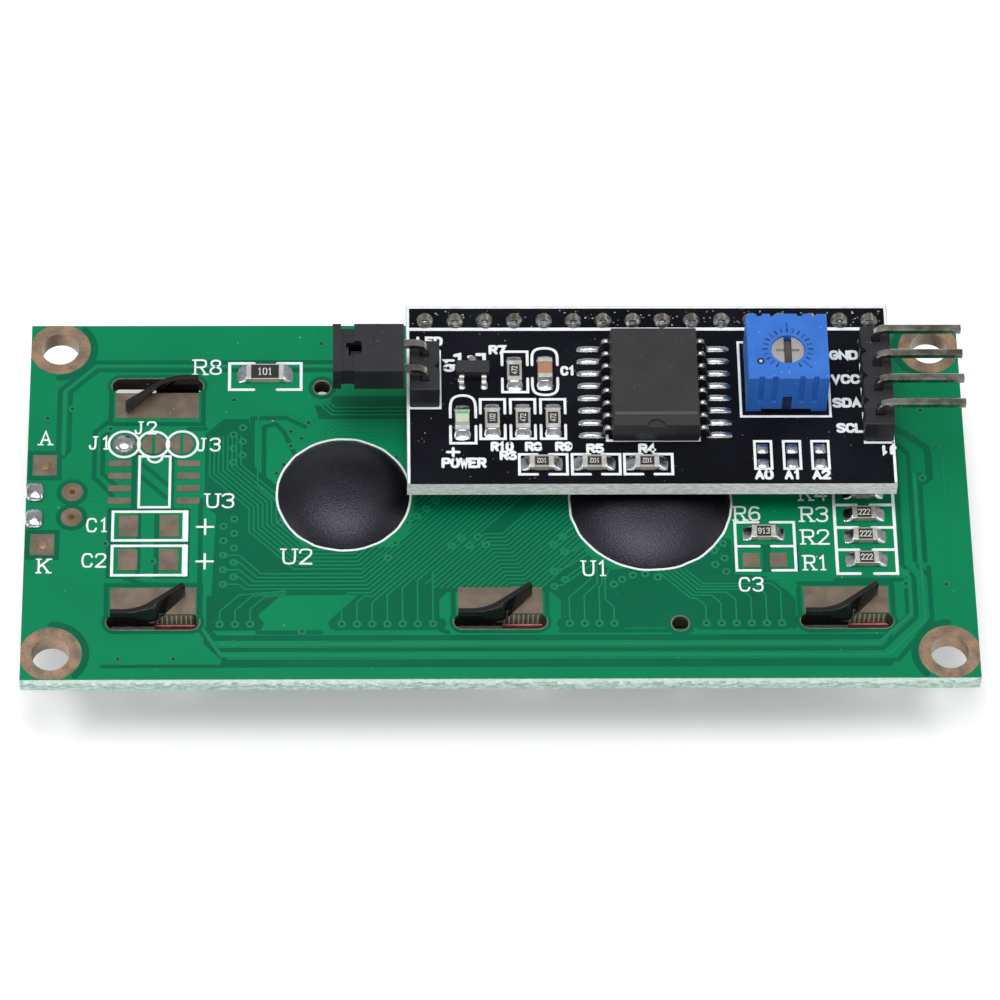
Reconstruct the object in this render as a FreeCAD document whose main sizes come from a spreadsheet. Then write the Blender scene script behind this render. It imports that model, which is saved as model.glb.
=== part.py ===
import FreeCAD, Part
import math
import os
import Sketcher
from FreeCAD import Rotation, Vector
from types import SimpleNamespace

# A two-line character display module with its serial adapter board soldered on the back.
# It lies with the display face down: Z is zero on that face and points up to the component side.
# X runs along the board, Y across it, and both are zero at the centre of the main board.

os.makedirs("parts", exist_ok=True)
doc = FreeCAD.newDocument("CharacterDisplay")

sizes = {
    # main board
    "board_length": 80.0,
    "board_width": 36.0,
    "board_thickness": 1.6,
    "copper_thickness": 0.05,
    "fixing_margin": 2.5,
    "fixing_radius": 1.6,
    "fixing_ring": 2.6,
    "tooling_radius": 0.7,
    # bare pads on the main board
    "footprint_reach": 2.92,
    "footprint_pad_length": 1.95,
    "footprint_pad_width": 0.6,
    "land_reach": 1.72,
    "land_length": 1.6,
    "land_width": 2.15,
    "small_land_reach": 1.15,
    "small_land_length": 1.45,
    "small_land_width": 1.4,
    "supply_pad_length": 2.0,
    "supply_pad_width": 2.1,
    "ring_radius": 0.9,
    "ring_hole": 0.45,
    "bridge_radius": 1.0,
    "bridge_split": 0.25,
    "bridge_margin": 0.05,
    # display stack and its folded metal bezel
    "display_height": 7.1,
    "display_y": -0.35,
    "bezel_margin_x": 4.4,
    "bezel_margin_y": 5.9,
    "sheet_thickness": 0.4,
    "bezel_bend": 0.35,
    "window_margin_x": 3.3,
    "window_margin_y": 4.4,
    "tab_inset": 6.55,
    "slot_length": 7.8,
    "slot_width": 1.5,
    "slot_margin": 0.35,
    "tab_width": 3.7,
    "tab_rise": 1.55,
    "root_turn": 48.0,
    "root_bend": 1.4,
    "root_arm": 3.6,
    "top_lead": 1.3,
    "top_turn": 36.0,
    "top_bend": 4.0,
    "top_arm": 4.6,
    "tab_pad_length": 7.1,
    "tab_pad_width": 2.6,
    "glass_thickness": 1.1,
    "glass_gap": 0.15,
    "glass_end_gap": 0.5,
    "glass_ledge": 2.95,
    "polariser_thickness": 0.2,
    "polariser_margin": 0.7,
    "film_thickness": 0.16,
    "zebra_width": 2.0,
    "zebra_end_gap": 1.7,
    "zebra_gap": 0.3,
    # backlight
    "tray_end_gap": 0.8,
    "tray_gap": 0.15,
    "tray_wall": 1.6,
    "tray_roof": 1.1,
    "lamp_box_reach": 2.9,
    "lamp_box_width": 11.0,
    "lamp_box_gap": 0.2,
    "lamp_thickness": 1.0,
    "lamp_width": 3.0,
    "lamp_height": 1.5,
    "lamp_spacing": 4.2,
    "lead_width": 0.5,
    "lead_thickness": 0.25,
    "lead_edge": 0.1,
    "lead_drop": 2.2,
    "lead_tip": 0.3,
    "edge_hole": 0.5,
    "edge_solder_length": 1.5,
    "edge_solder_width": 1.9,
    "edge_solder_height": 0.42,
    "edge_solder_bevel": 0.35,
    # chips under resin
    "resin_height": 1.5,
    "left_resin_radius": 5.6,
    "right_resin_radius": 6.8,
    # pin header between the two boards
    "pitch": 2.54,
    "pin_size": 0.64,
    "pin_hole": 0.5,
    "header_height": 2.54,
    "header_inset": 8.0,
    "header_margin": 2.5,
    "header_notch": 0.45,
    "pin_tail": 1.5,
    "pin_tip": 0.75,
    "joint_radius": 0.78,
    "joint_height": 0.55,
    "joint_bevel": 0.28,
    # adapter board
    "adapter_left_margin": 1.65,
    "adapter_right_margin": 1.6,
    "adapter_far_margin": 1.6,
    "adapter_width": 18.4,
    "adapter_thickness": 1.6,
    "address_spacing": 1.5,
    "address_pad": 1.0,
    "address_height": 0.12,
    "address_slope": 30.0,
    # wide sixteen-lead chip
    "expander_length": 10.3,
    "expander_width": 7.5,
    "expander_height": 2.3,
    "expander_standoff": 0.15,
    "expander_band": 0.26,
    "expander_draft": 8.0,
    "expander_notch": 0.8,
    "notch_depth": 0.25,
    "expander_span": 10.3,
    "expander_pitch": 1.27,
    "expander_foot": 0.85,
    "expander_lead": 0.42,
    "expander_sheet": 0.25,
    "expander_bend": 0.2,
    "expander_land": 1.15,
    "expander_land_width": 0.62,
    "solder_rise": 0.3,
    # small transistor
    "transistor_length": 2.9,
    "transistor_width": 1.3,
    "transistor_height": 1.0,
    "transistor_draft": 7.0,
    "transistor_band": 0.16,
    "transistor_span": 2.5,
    "transistor_lead": 0.42,
    "transistor_sheet": 0.14,
    "transistor_bend": 0.15,
    "transistor_reach": 0.95,
    # chip resistors, capacitor and lamp on both boards
    "large_chip_length": 3.2,
    "large_chip_width": 1.6,
    "chip_length": 2.0,
    "chip_width": 1.25,
    "chip_height": 0.5,
    "chip_cap": 0.4,
    "cap_wrap": 0.04,
    "solder_reach": 0.8,
    "solder_side": 0.12,
    "solder_crest": 0.12,
    "capacitor_height": 0.85,
    "lens_height": 0.45,
    "lens_length": 1.25,
    "lens_draft": 10.0,
    # trimming potentiometer
    "trimmer_length": 6.85,
    "trimmer_width": 6.7,
    "trimmer_height": 4.9,
    "trimmer_foot": 0.35,
    "trimmer_foot_size": 1.3,
    "trimmer_roof": 1.0,
    "trimmer_chamber": 2.9,
    "rotor_y": -0.3,
    "rotor_radius": 1.4,
    "rotor_clearance": 0.03,
    "rotor_sink": 0.2,
    "flange_radius": 2.4,
    "flange_height": 2.1,
    "rotor_slot_width": 0.65,
    "rotor_slot_depth": 0.7,
    "rotor_cross_length": 1.96,
    "rotor_cross_width": 0.3,
    "rotor_cross_depth": 0.35,
    "element_thickness": 0.8,
    "element_clearance": 0.02,
    "wiper_length": 4.0,
    "wiper_width": 0.9,
    "wiper_thickness": 0.15,
    "wiper_clearance": 0.03,
    "side_groove_depth": 0.22,
    "side_groove_width": 0.45,
    "side_groove_spacing": 1.15,
    "side_recess_width": 0.8,
    "side_recess_height": 1.8,
    "tick_inner": 1.75,
    "tick_outer": 2.15,
    "tick_width": 0.16,
    "tick_depth": 0.08,
    "trimmer_pin_length": 0.5,
    "trimmer_pin_width": 0.3,
    "trimmer_pin_hole": 0.4,
    # right-angle headers for the bus and for the lamp jumper
    "block_height": 2.54,
    "bus_reach": 7.2,
    "jumper_reach": 6.25,
    "bend_height": 3.85,
    "bend_cut": 0.25,
    "connector_tail": 0.85,
    "pin_point": 0.16,
    # jumper cap and its clip
    "cap_length": 4.2,
    "cap_width": 4.9,
    "cap_thickness": 2.6,
    "cap_gap": 0.5,
    "cap_rim": 0.7,
    "cap_neck": 1.1,
    "neck_width": 4.3,
    "neck_thickness": 2.0,
    "tunnel_width": 1.5,
    "tunnel_height": 1.3,
    "cap_end_wall": 0.4,
    "cap_window_length": 1.35,
    "cap_window_width": 1.4,
    "cap_window_round": 0.3,
    "clip_thickness": 0.2,
    "clip_height": 0.9,
    "clip_clearance": 0.03,
    "clip_reach": 3.9,
}

# places on the main board, from its centre, as shares of its length and width
board_places = {
    "left_tooling": (-0.1869, 0.3181),
    "right_tooling": (0.1881, -0.35),
    "lamp_lead_far": (-0.5, 0.0189),
    "lamp_lead_near": (-0.5, -0.0564),
    "left_resin": (-0.1638, 0.0111),
    "right_resin": (0.1613, -0.0111),
    "lamp_resistor": (-0.2481, 0.3556),
    "clock_resistor": (0.28, -0.1028),
    "bias_one": (0.3875, -0.1764),
    "bias_two": (0.3875, -0.1111),
    "bias_three": (0.3875, -0.05),
    "bias_four": (0.3875, 0.0139),
    "footprint": (-0.365, 0.0475),
    "upper_land": (-0.3694, -0.0764),
    "lower_land": (-0.3694, -0.1708),
    "small_land": (0.28, -0.175),
    "plus_pad": (-0.4813, 0.0958),
    "minus_pad": (-0.4813, -0.1278),
    "far_ring": (-0.4513, 0.02),
    "near_ring": (-0.4513, -0.0508),
    "bridge_one": (-0.3975, 0.1556),
    "bridge_two": (-0.3663, 0.1556),
    "bridge_three": (-0.3362, 0.1556),
}

# places on the adapter board, in the same way
adapter_places = {
    "expander": (0.0091, 0.0054),
    "transistor": (-0.3634, 0.1196),
    "power_lamp": (-0.3863, -0.1603),
    "supply_capacitor": (-0.2146, 0.1168),
    "base_resistor": (-0.2775, 0.1141),
    "pull_one": (-0.3247, -0.1522),
    "pull_two": (-0.2618, -0.1522),
    "pull_three": (-0.2001, -0.1522),
    "line_one": (-0.2255, -0.3913),
    "line_two": (-0.1179, -0.3913),
    "line_three": (-0.0103, -0.3913),
    "address_one": (0.2267, -0.3505),
    "address_two": (0.2872, -0.3505),
    "address_three": (0.3452, -0.3505),
    "trimmer": (0.2792, 0.0826),
    "bus_header": (0.4661, 0.0098),
    "jumper_header": (-0.463, 0.0674),
}
for name, (across, along) in list(board_places.items()) + list(adapter_places.items()):
    sizes[name + "_x"] = across
    sizes[name + "_y"] = along


class Formula:
    # A size worked out from the sheet: its text goes into the document, its number into first drafts.
    def __init__(self, text, number):
        self.text = text
        self.number = number

    def __add__(self, other):
        other = formula(other)
        return Formula("(%s + %s)" % (self.text, other.text), self.number + other.number)

    def __sub__(self, other):
        other = formula(other)
        return Formula("(%s - %s)" % (self.text, other.text), self.number - other.number)

    def __mul__(self, other):
        other = formula(other)
        return Formula("(%s * %s)" % (self.text, other.text), self.number * other.number)

    def __truediv__(self, other):
        other = formula(other)
        return Formula("(%s / %s)" % (self.text, other.text), self.number / other.number)

    def __radd__(self, other):
        return formula(other) + self

    def __rsub__(self, other):
        return formula(other) - self

    def __rmul__(self, other):
        return formula(other) * self

    def __neg__(self):
        return Formula("(-1 * %s)" % self.text, -self.number)


def formula(value):
    if isinstance(value, Formula):
        return value
    return Formula("(%s)" % float(value), float(value))


def sine(angle):
    return Formula("sin(%s)" % angle.text, math.sin(math.radians(angle.number)))


def cosine(angle):
    return Formula("cos(%s)" % angle.text, math.cos(math.radians(angle.number)))


def tangent(angle):
    return Formula("tan(%s)" % angle.text, math.tan(math.radians(angle.number)))


# every size in the sheet, by its name
sheet = doc.addObject("Spreadsheet::Sheet", "Sizes")
s = SimpleNamespace()
for row, (name, value) in enumerate(sizes.items(), start=1):
    sheet.set("A%d" % row, name)
    sheet.set("B%d" % row, str(value))
    sheet.setAlias("B%d" % row, name)
    setattr(s, name, Formula("Sizes." + name, value))
doc.recompute()

# heights of the main levels
board_front = s.display_height
board_rear = board_front + s.board_thickness
board_copper = board_rear + s.copper_thickness
adapter_front = board_rear + s.header_height
adapter_rear = adapter_front + s.adapter_thickness
adapter_copper = adapter_rear + s.copper_thickness

# plan sizes that follow from the board's
header_count = 16
bus_count = 4
jumper_count = 2
header_span = s.pitch * (header_count - 1)
header_left = s.board_length / 2 - s.header_inset - header_span
header_y = s.board_width / 2 - s.header_margin
adapter_length = header_span + s.adapter_left_margin + s.adapter_right_margin
adapter_x = header_left - s.adapter_left_margin + adapter_length / 2
adapter_y = header_y + s.adapter_far_margin - s.adapter_width / 2
fixing_x = s.board_length / 2 - s.fixing_margin
fixing_y = s.board_width / 2 - s.fixing_margin
bezel_length = s.board_length - 2 * s.bezel_margin_x
bezel_width = s.board_width - 2 * s.bezel_margin_y
window_length = bezel_length - 2 * s.window_margin_x
window_width = bezel_width - 2 * s.window_margin_y
tab_spacing = bezel_length / 2 - s.tab_inset
slot_y = bezel_width / 2 - s.sheet_thickness / 4
tab_places = [-1, 0, 1]
tick_count = 12
ring_sides = 16
# the trimmer's pins, in pitches from its middle
trimmer_pins = [(-1, -0.5), (1, -0.5), (0, 0.5)]

nodes = []


def bind(thing, prop, value):
    thing.setExpression(prop, formula(value).text)


def place(thing, x=0, y=0, z=0):
    bind(thing, "Placement.Base.x", x)
    bind(thing, "Placement.Base.y", y)
    bind(thing, "Placement.Base.z", z)


def spot(name):
    # the place of a part by its name
    across, along = getattr(s, name + "_x"), getattr(s, name + "_y")
    if name in adapter_places:
        return adapter_x + across * adapter_length, adapter_y + along * s.adapter_width
    return across * s.board_length, along * s.board_width


def new_body(label, x=0, y=0, z=0, inner=False):
    body = doc.addObject("PartDesign::Body", label)
    body.Label = label
    place(body, x, y, z)
    if not inner:
        nodes.append(body)
    return body


def origin_feature(body, role):
    return [feature for feature in body.Origin.OriginFeatures if feature.Role == role][0]


def new_sketch(body, plane="XY_Plane", offset=0):
    sketch = body.newObject("Sketcher::SketchObject", body.Label + "_sketch")
    sketch.AttachmentSupport = [(origin_feature(body, plane), "")]
    sketch.MapMode = "FlatFace"
    bind(sketch, "AttachmentOffset.Base.z", offset)
    return sketch


def set_point(sketch, geometry, end, x, y):
    # tie one point of the sketch to two formulas
    for kind, value in (("DistanceX", formula(x)), ("DistanceY", formula(y))):
        index = sketch.addConstraint(Sketcher.Constraint(kind, -1, 1, geometry, end, value.number))
        name = "%s_%d_%d" % (kind, geometry, end)
        sketch.renameConstraint(index, name)
        sketch.setExpression("Constraints." + name, value.text)


def outline(sketch, corners):
    # closed outline through corners (x, y) or, rounded, (x, y, radius)
    points = [Vector(formula(c[0]).number, formula(c[1]).number, 0) for c in corners]
    first = sketch.GeometryCount
    count = len(points)
    lines = [Part.LineSegment(points[i], points[(i + 1) % count]) for i in range(count)]
    sketch.addGeometry(lines)
    joins = [Sketcher.Constraint("Coincident", first + i, 2, first + (i + 1) % count, 1)
             for i in range(count)]
    sketch.addConstraint(joins)
    for i, corner in enumerate(corners):
        set_point(sketch, first + i, 1, corner[0], corner[1])
    for i, corner in enumerate(corners):
        if len(corner) == 3:
            radius = formula(corner[2])
            before = first + (i - 1) % count
            arc = sketch.GeometryCount
            sketch.fillet(before, 2, radius.number, True, True)
            index = sketch.addConstraint(Sketcher.Constraint("Radius", arc, radius.number))
            sketch.renameConstraint(index, "round_%d" % arc)
            sketch.setExpression("Constraints.round_%d" % arc, radius.text)


def rectangle(sketch, x, y, length, width):
    x, y, length, width = formula(x), formula(y), formula(length), formula(width)
    left, right = x - length / 2, x + length / 2
    low, high = y - width / 2, y + width / 2
    points = [Vector(left.number, low.number, 0), Vector(right.number, low.number, 0),
              Vector(right.number, high.number, 0), Vector(left.number, high.number, 0)]
    first = sketch.GeometryCount
    sketch.addGeometry([Part.LineSegment(points[i], points[(i + 1) % 4]) for i in range(4)])
    ties = [Sketcher.Constraint("Coincident", first + i, 2, first + (i + 1) % 4, 1) for i in range(4)]
    ties += [Sketcher.Constraint("Horizontal", first), Sketcher.Constraint("Vertical", first + 1),
             Sketcher.Constraint("Horizontal", first + 2), Sketcher.Constraint("Vertical", first + 3)]
    sketch.addConstraint(ties)
    set_point(sketch, first, 1, left, low)
    set_point(sketch, first + 2, 1, right, high)


def circle(sketch, x, y, radius):
    x, y, radius = formula(x), formula(y), formula(radius)
    index = sketch.addGeometry(Part.Circle(Vector(x.number, y.number, 0), Vector(0, 0, 1), radius.number))
    set_point(sketch, index, 3, x, y)
    tie = sketch.addConstraint(Sketcher.Constraint("Radius", index, radius.number))
    sketch.renameConstraint(tie, "radius_%d" % index)
    sketch.setExpression("Constraints.radius_%d" % index, radius.text)


def many_sided(sketch, x, y, radius, sides):
    # polygon round a circle
    reach = radius / cosine(formula(180 / sides))
    turns = [formula((2 * step + 1) * 180 / sides) for step in range(sides)]
    outline(sketch, [(x + reach * cosine(turn), y + reach * sine(turn)) for turn in turns])


def eight_sided(sketch, x, y, radius):
    # the small round holes and joints have eight sides, which keeps their facets few
    many_sided(sketch, x, y, radius, 8)


def milled_slot(sketch, x, y, length, width):
    # slot along X whose ends come close to half rounds
    across, along = length / 2, width / 2
    near = along * tangent(formula(22.5))
    trim = along - near
    around = [(across, -near), (across, near), (across - trim, along), (trim - across, along),
              (-across, near), (-across, -near), (trim - across, -along), (across - trim, -along)]
    outline(sketch, [(x + a, y + b) for a, b in around])


def pad(body, sketch, length, down=False, taper=0, midplane=False):
    feature = body.newObject("PartDesign::Pad", body.Label + "_pad")
    feature.Profile = sketch
    feature.Reversed = down
    feature.Midplane = midplane
    bind(feature, "Length", length)
    if taper:
        bind(feature, "TaperAngle", taper)
    doc.recompute()
    return feature


def pocket(body, sketch, depth=None, up=False):
    # cut from the sketch downwards, or upwards, by a depth or through everything
    before = body.Shape.Volume
    feature = body.newObject("PartDesign::Pocket", body.Label + "_pocket")
    feature.Profile = sketch
    feature.Reversed = up
    if depth is None:
        feature.Type = "ThroughAll"
    else:
        bind(feature, "Length", depth)
    doc.recompute()
    if body.Shape.Volume > before - 0.0001:
        raise RuntimeError("a pocket cut nothing in " + body.Label)
    return feature


def revolve(body, sketch, axis="Z_Axis"):
    feature = body.newObject("PartDesign::Revolution", body.Label + "_turned")
    feature.Profile = sketch
    feature.ReferenceAxis = (origin_feature(body, axis), [""])
    feature.Angle = 360
    doc.recompute()
    return feature


def row_of(body, features, axis, length, count):
    # repeat features in a row along an axis; its span comes from the pitch
    pattern = body.newObject("PartDesign::LinearPattern", body.Label + "_row")
    pattern.Originals = features
    pattern.Direction = (origin_feature(body, axis), [""])
    bind(pattern, "Length", length)
    pattern.Occurrences = count
    body.Tip = pattern
    doc.recompute()
    return pattern


def grid_of(body, features, length, across, width, along):
    # repeat features in rows along X and Y
    grid = body.newObject("PartDesign::MultiTransform", body.Label + "_grid")
    grid.Originals = features
    steps = []
    for axis, span, count in (("X_Axis", length, across), ("Y_Axis", width, along)):
        step = body.newObject("PartDesign::LinearPattern", body.Label + "_grid_row")
        step.Direction = (origin_feature(body, axis), [""])
        bind(step, "Length", span)
        step.Occurrences = count
        steps.append(step)
    grid.Transformations = steps
    body.Tip = grid
    doc.recompute()


def edges_at(shape, test):
    # names of the edges whose two ends both pass a test
    return ["Edge%d" % (i + 1) for i, edge in enumerate(shape.Edges)
            if all(test(vertex.Point) for vertex in edge.Vertexes)]


def dress(body, kind, base, edges, size):
    if not edges:
        raise RuntimeError("no edges to dress on " + body.Label)
    feature = body.newObject("PartDesign::" + kind, body.Label + "_" + kind.lower())
    feature.Base = (base, edges)
    bind(feature, "Radius" if kind == "Fillet" else "Size", size)
    doc.recompute()
    return feature


def bevel_level(body, base, level, size):
    # bevel every edge at one level of the body, as on a drop of solder
    edges = edges_at(base.Shape, lambda p: abs(p.z - level.number) < 0.001)
    return dress(body, "Chamfer", base, edges, size)


def block(name, x, y, z, length, width, height):
    # box centred on x and y, standing on z
    box = doc.addObject("Part::Box", name)
    bind(box, "Length", length)
    bind(box, "Width", width)
    bind(box, "Height", height)
    place(box, x - formula(length) / 2, y - formula(width) / 2, z)
    return box


def keep(thing, label):
    thing.Label = label
    nodes.append(thing)
    return thing


def hole_row(body, x, y, axis, count):
    # pin holes in a row from the place of the first one
    first = new_sketch(body)
    eight_sided(first, x, y, s.pin_hole)
    hole = pocket(body, first, up=True)
    row_of(body, [hole], axis, s.pitch * (count - 1), count)


def make_main_board():
    body = new_body("main_board", z=board_front)
    sketch = new_sketch(body)
    rectangle(sketch, 0, 0, s.board_length, s.board_width)
    pad(body, sketch, s.board_thickness)
    # the plating lines the fixing holes, so their own walls don't show and have few sides
    corner = new_sketch(body)
    many_sided(corner, -fixing_x, -fixing_y, s.fixing_radius + s.copper_thickness, ring_sides)
    grid_of(body, [pocket(body, corner, up=True)], 2 * fixing_x, 2, 2 * fixing_y, 2)
    slot = new_sketch(body)
    milled_slot(slot, -tab_spacing, s.display_y - slot_y, s.slot_length, s.slot_width)
    grid_of(body, [pocket(body, slot, up=True)], 2 * tab_spacing, len(tab_places), 2 * slot_y, 2)
    openings = new_sketch(body)
    for name in ("left_tooling", "right_tooling"):
        circle(openings, *spot(name), s.tooling_radius)
    for name in ("far_ring", "near_ring"):
        eight_sided(openings, *spot(name), s.ring_hole)
    pocket(body, openings, up=True)
    edge = new_sketch(body)
    for name in ("lamp_lead_far", "lamp_lead_near"):
        eight_sided(edge, *spot(name), s.edge_hole)
    pocket(body, edge, up=True)
    hole_row(body, header_left, header_y, "X_Axis", header_count)


def make_fixing_pads():
    # plated eyelets: a ring on each face and the wall between, trimmed at the board's edges
    rings = []
    for side in (-1, 1):
        for end in (-1, 1):
            ring = doc.addObject("Part::Prism", "fixing_ring")
            ring.Polygon = ring_sides
            bind(ring, "Circumradius", s.fixing_ring)
            bind(ring, "Height", s.board_thickness + 2 * s.copper_thickness)
            place(ring, fixing_x * side, fixing_y * end, board_front - s.copper_thickness)
            bore = doc.addObject("Part::Cylinder", "fixing_bore")
            bind(bore, "Radius", s.fixing_radius)
            bind(bore, "Height", s.board_thickness + 4 * s.copper_thickness)
            place(bore, fixing_x * side, fixing_y * end, board_front - 2 * s.copper_thickness)
            eyelet = doc.addObject("Part::Cut", "fixing_eyelet")
            eyelet.Base = ring
            eyelet.Tool = bore
            rings.append(eyelet)
    group = doc.addObject("Part::Compound", "fixing_group")
    group.Links = rings
    trim = block("fixing_trim", 0, 0, board_front - 2 * s.copper_thickness, s.board_length,
                 s.board_width, s.board_thickness + 4 * s.copper_thickness)
    trimmed = doc.addObject("Part::MultiCommon", "fixing_trimmed")
    trimmed.Shapes = [group, trim]
    pads = doc.addObject("Part::Cut", "fixing_pads")
    pads.Base = trimmed
    pads.Tool = doc.getObject("main_board")
    keep(pads, "fixing_pads")


def make_tab_pads():
    body = new_body("tab_pads", y=s.display_y, z=board_rear)
    sketch = new_sketch(body)
    inner_edge = slot_y - s.slot_width / 2
    for side in (-1, 1):
        for step in tab_places:
            rectangle(sketch, tab_spacing * step, (inner_edge - s.tab_pad_width / 2) * side,
                      s.tab_pad_length, s.tab_pad_width)
    pad(body, sketch, s.copper_thickness)


def make_bare_pads():
    body = new_body("bare_pads", z=board_rear)
    sketch = new_sketch(body)
    x, y = spot("footprint")
    for side in (-1, 1):
        for step in (-1.5, -0.5, 0.5, 1.5):
            rectangle(sketch, x + s.footprint_reach * side, y + s.expander_pitch * step,
                      s.footprint_pad_length, s.footprint_pad_width)
    for name in ("upper_land", "lower_land"):
        x, y = spot(name)
        for side in (-1, 1):
            rectangle(sketch, x + s.land_reach * side, y, s.land_length, s.land_width)
    x, y = spot("small_land")
    for side in (-1, 1):
        rectangle(sketch, x + s.small_land_reach * side, y, s.small_land_length, s.small_land_width)
    for name in ("plus_pad", "minus_pad"):
        rectangle(sketch, *spot(name), s.supply_pad_length, s.supply_pad_width)
    for name in ("far_ring", "near_ring"):
        eight_sided(sketch, *spot(name), s.ring_radius)
        eight_sided(sketch, *spot(name), s.ring_hole)
    for name in ("bridge_one", "bridge_two", "bridge_three"):
        eight_sided(sketch, *spot(name), s.bridge_radius)
    pad(body, sketch, s.copper_thickness)
    splits = new_sketch(body)
    for name in ("bridge_one", "bridge_two", "bridge_three"):
        rectangle(splits, *spot(name), s.bridge_split, s.bridge_radius * 3)
    pocket(body, splits, up=True)


def make_land_solder():
    # solder over the two lamp leads at the board's edge and over the closed bridge
    body = new_body("land_solder", z=board_copper)
    sketch = new_sketch(body)
    for name in ("lamp_lead_far", "lamp_lead_near"):
        edge, y = spot(name)
        rectangle(sketch, edge + s.edge_solder_length / 2, y, s.edge_solder_length,
                  s.edge_solder_width)
    eight_sided(sketch, *spot("bridge_one"), s.bridge_radius - s.bridge_margin)
    blobs = pad(body, sketch, s.edge_solder_height)
    bevel_level(body, blobs, s.edge_solder_height, s.edge_solder_bevel)
    slots = new_sketch(body)
    for name in ("lamp_lead_far", "lamp_lead_near"):
        edge, y = spot(name)
        rectangle(slots, edge + s.lead_edge + s.lead_thickness / 2, y, s.lead_thickness,
                  s.lead_width)
    pocket(body, slots, up=True)


def tab_outline(sketch, start, corner, turn, arm, bend):
    # bent strip seen from above: along the wall, round the bend and out to its tip
    half = s.sheet_thickness / 2
    wall = -bezel_width / 2 + half
    slip = half * tangent(turn / 2)
    tip_x = corner + arm * cosine(turn)
    tip_y = wall + arm * sine(turn)
    across, along = half * sine(turn), half * cosine(turn)
    outline(sketch, [
        (start, wall - half),
        (corner + slip, wall - half, bend + half),
        (tip_x + across, tip_y - along),
        (tip_x - across, tip_y + along),
        (corner - slip, wall + half, bend - half),
        (start, wall + half),
    ])


def make_bezel():
    # one folded sheet: face with its window, four walls, and six tabs that are bent over the board
    body = new_body("bezel", y=s.display_y)
    face = new_sketch(body)
    rectangle(face, 0, 0, bezel_length, bezel_width)
    box = pad(body, face, s.display_height)
    folds = edges_at(box.Shape, lambda p: abs(p.z) < 0.001)
    relief = s.bezel_bend + s.sheet_thickness
    dress(body, "Fillet", box, folds, relief)
    inside = new_sketch(body, offset=s.sheet_thickness)
    rectangle(inside, 0, 0, bezel_length - 2 * s.sheet_thickness,
              bezel_width - 2 * s.sheet_thickness)
    pocket(body, inside, up=True)
    window = new_sketch(body)
    rectangle(window, 0, 0, window_length, window_width)
    pocket(body, window, s.sheet_thickness, up=True)
    corners = new_sketch(body)
    for side in (-1, 1):
        for end in (-1, 1):
            rectangle(corners, (bezel_length - relief) / 2 * side, (bezel_width - relief) / 2 * end,
                      relief, relief)
    pocket(body, corners, up=True)
    gate = new_sketch(body, offset=lamp_box_level() - s.lamp_box_gap)
    rectangle(gate, (s.sheet_thickness - bezel_length) / 2, 0, s.sheet_thickness * 2,
              s.lamp_box_width + 2 * s.lamp_box_gap)
    pocket(body, gate, up=True)
    start = -tab_spacing - s.slot_length / 2 + s.slot_margin
    corner = start + s.tab_width
    root = new_sketch(body, offset=s.display_height)
    rectangle(root, start + s.tab_width / 2, (s.sheet_thickness - bezel_width) / 2, s.tab_width,
              s.sheet_thickness)
    stem = pad(body, root, s.board_thickness + s.copper_thickness)
    foot = new_sketch(body, offset=board_copper)
    tab_outline(foot, start, corner, s.root_turn, s.root_arm, s.root_bend)
    crest = new_sketch(body, offset=board_copper + s.tab_rise)
    tab_outline(crest, start, corner - s.top_lead, s.top_turn, s.top_arm, s.top_bend)
    hook = body.newObject("PartDesign::AdditiveLoft", "bezel_hook")
    hook.Profile = foot
    hook.Sections = [(crest, [""])]
    hook.Ruled = True
    doc.recompute()
    spread = body.newObject("PartDesign::MultiTransform", "bezel_tabs")
    spread.Originals = [stem, hook]
    along = body.newObject("PartDesign::LinearPattern", "bezel_tabs_along")
    along.Direction = (origin_feature(body, "X_Axis"), [""])
    bind(along, "Length", tab_spacing * 2)
    along.Occurrences = len(tab_places)
    about = body.newObject("PartDesign::PolarPattern", "bezel_tabs_about")
    about.Axis = (origin_feature(body, "Z_Axis"), [""])
    about.Angle = 360
    about.Occurrences = 2
    spread.Transformations = [along, about]
    body.Tip = spread
    doc.recompute()


def plate(label, x, y, z, length, width, thickness):
    keep(block(label, x, y, z, length, width, thickness), label)


def glass_level():
    return s.sheet_thickness + s.polariser_thickness


def film_level():
    return glass_level() + 2 * s.glass_thickness + s.polariser_thickness


def lamp_box_level():
    return film_level() + s.film_thickness


def glass_length():
    return bezel_length - 2 * (s.sheet_thickness + s.glass_end_gap)


def make_glass():
    front_width = bezel_width - 2 * (s.sheet_thickness + s.glass_gap)
    rear_width = front_width - 2 * s.glass_ledge
    film_length = window_length + 2 * s.polariser_margin
    film_width = window_width + 2 * s.polariser_margin
    plate("front_polariser", 0, s.display_y, s.sheet_thickness, film_length, film_width,
          s.polariser_thickness)
    plate("front_glass", 0, s.display_y, glass_level(), glass_length(), front_width,
          s.glass_thickness)
    plate("rear_glass", 0, s.display_y, glass_level() + s.glass_thickness, glass_length(),
          rear_width, s.glass_thickness)
    plate("rear_polariser", 0, s.display_y, glass_level() + 2 * s.glass_thickness, film_length,
          film_width, s.polariser_thickness)
    plate("diffuser_film", 0, s.display_y, film_level(), glass_length() - 2 * s.polariser_margin,
          rear_width, s.film_thickness)


def zebra_y():
    return bezel_width / 2 - s.sheet_thickness - s.zebra_gap - s.zebra_width / 2


def make_zebra_strips():
    # striped rubber that carries the signals from the glass ledge to the board
    low = glass_level() + s.glass_thickness
    for label, side in (("zebra_strip_near", -1), ("zebra_strip_far", 1)):
        plate(label, 0, s.display_y + zebra_y() * side, low, glass_length() - 2 * s.zebra_end_gap,
              s.zebra_width, board_front - low)


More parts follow.
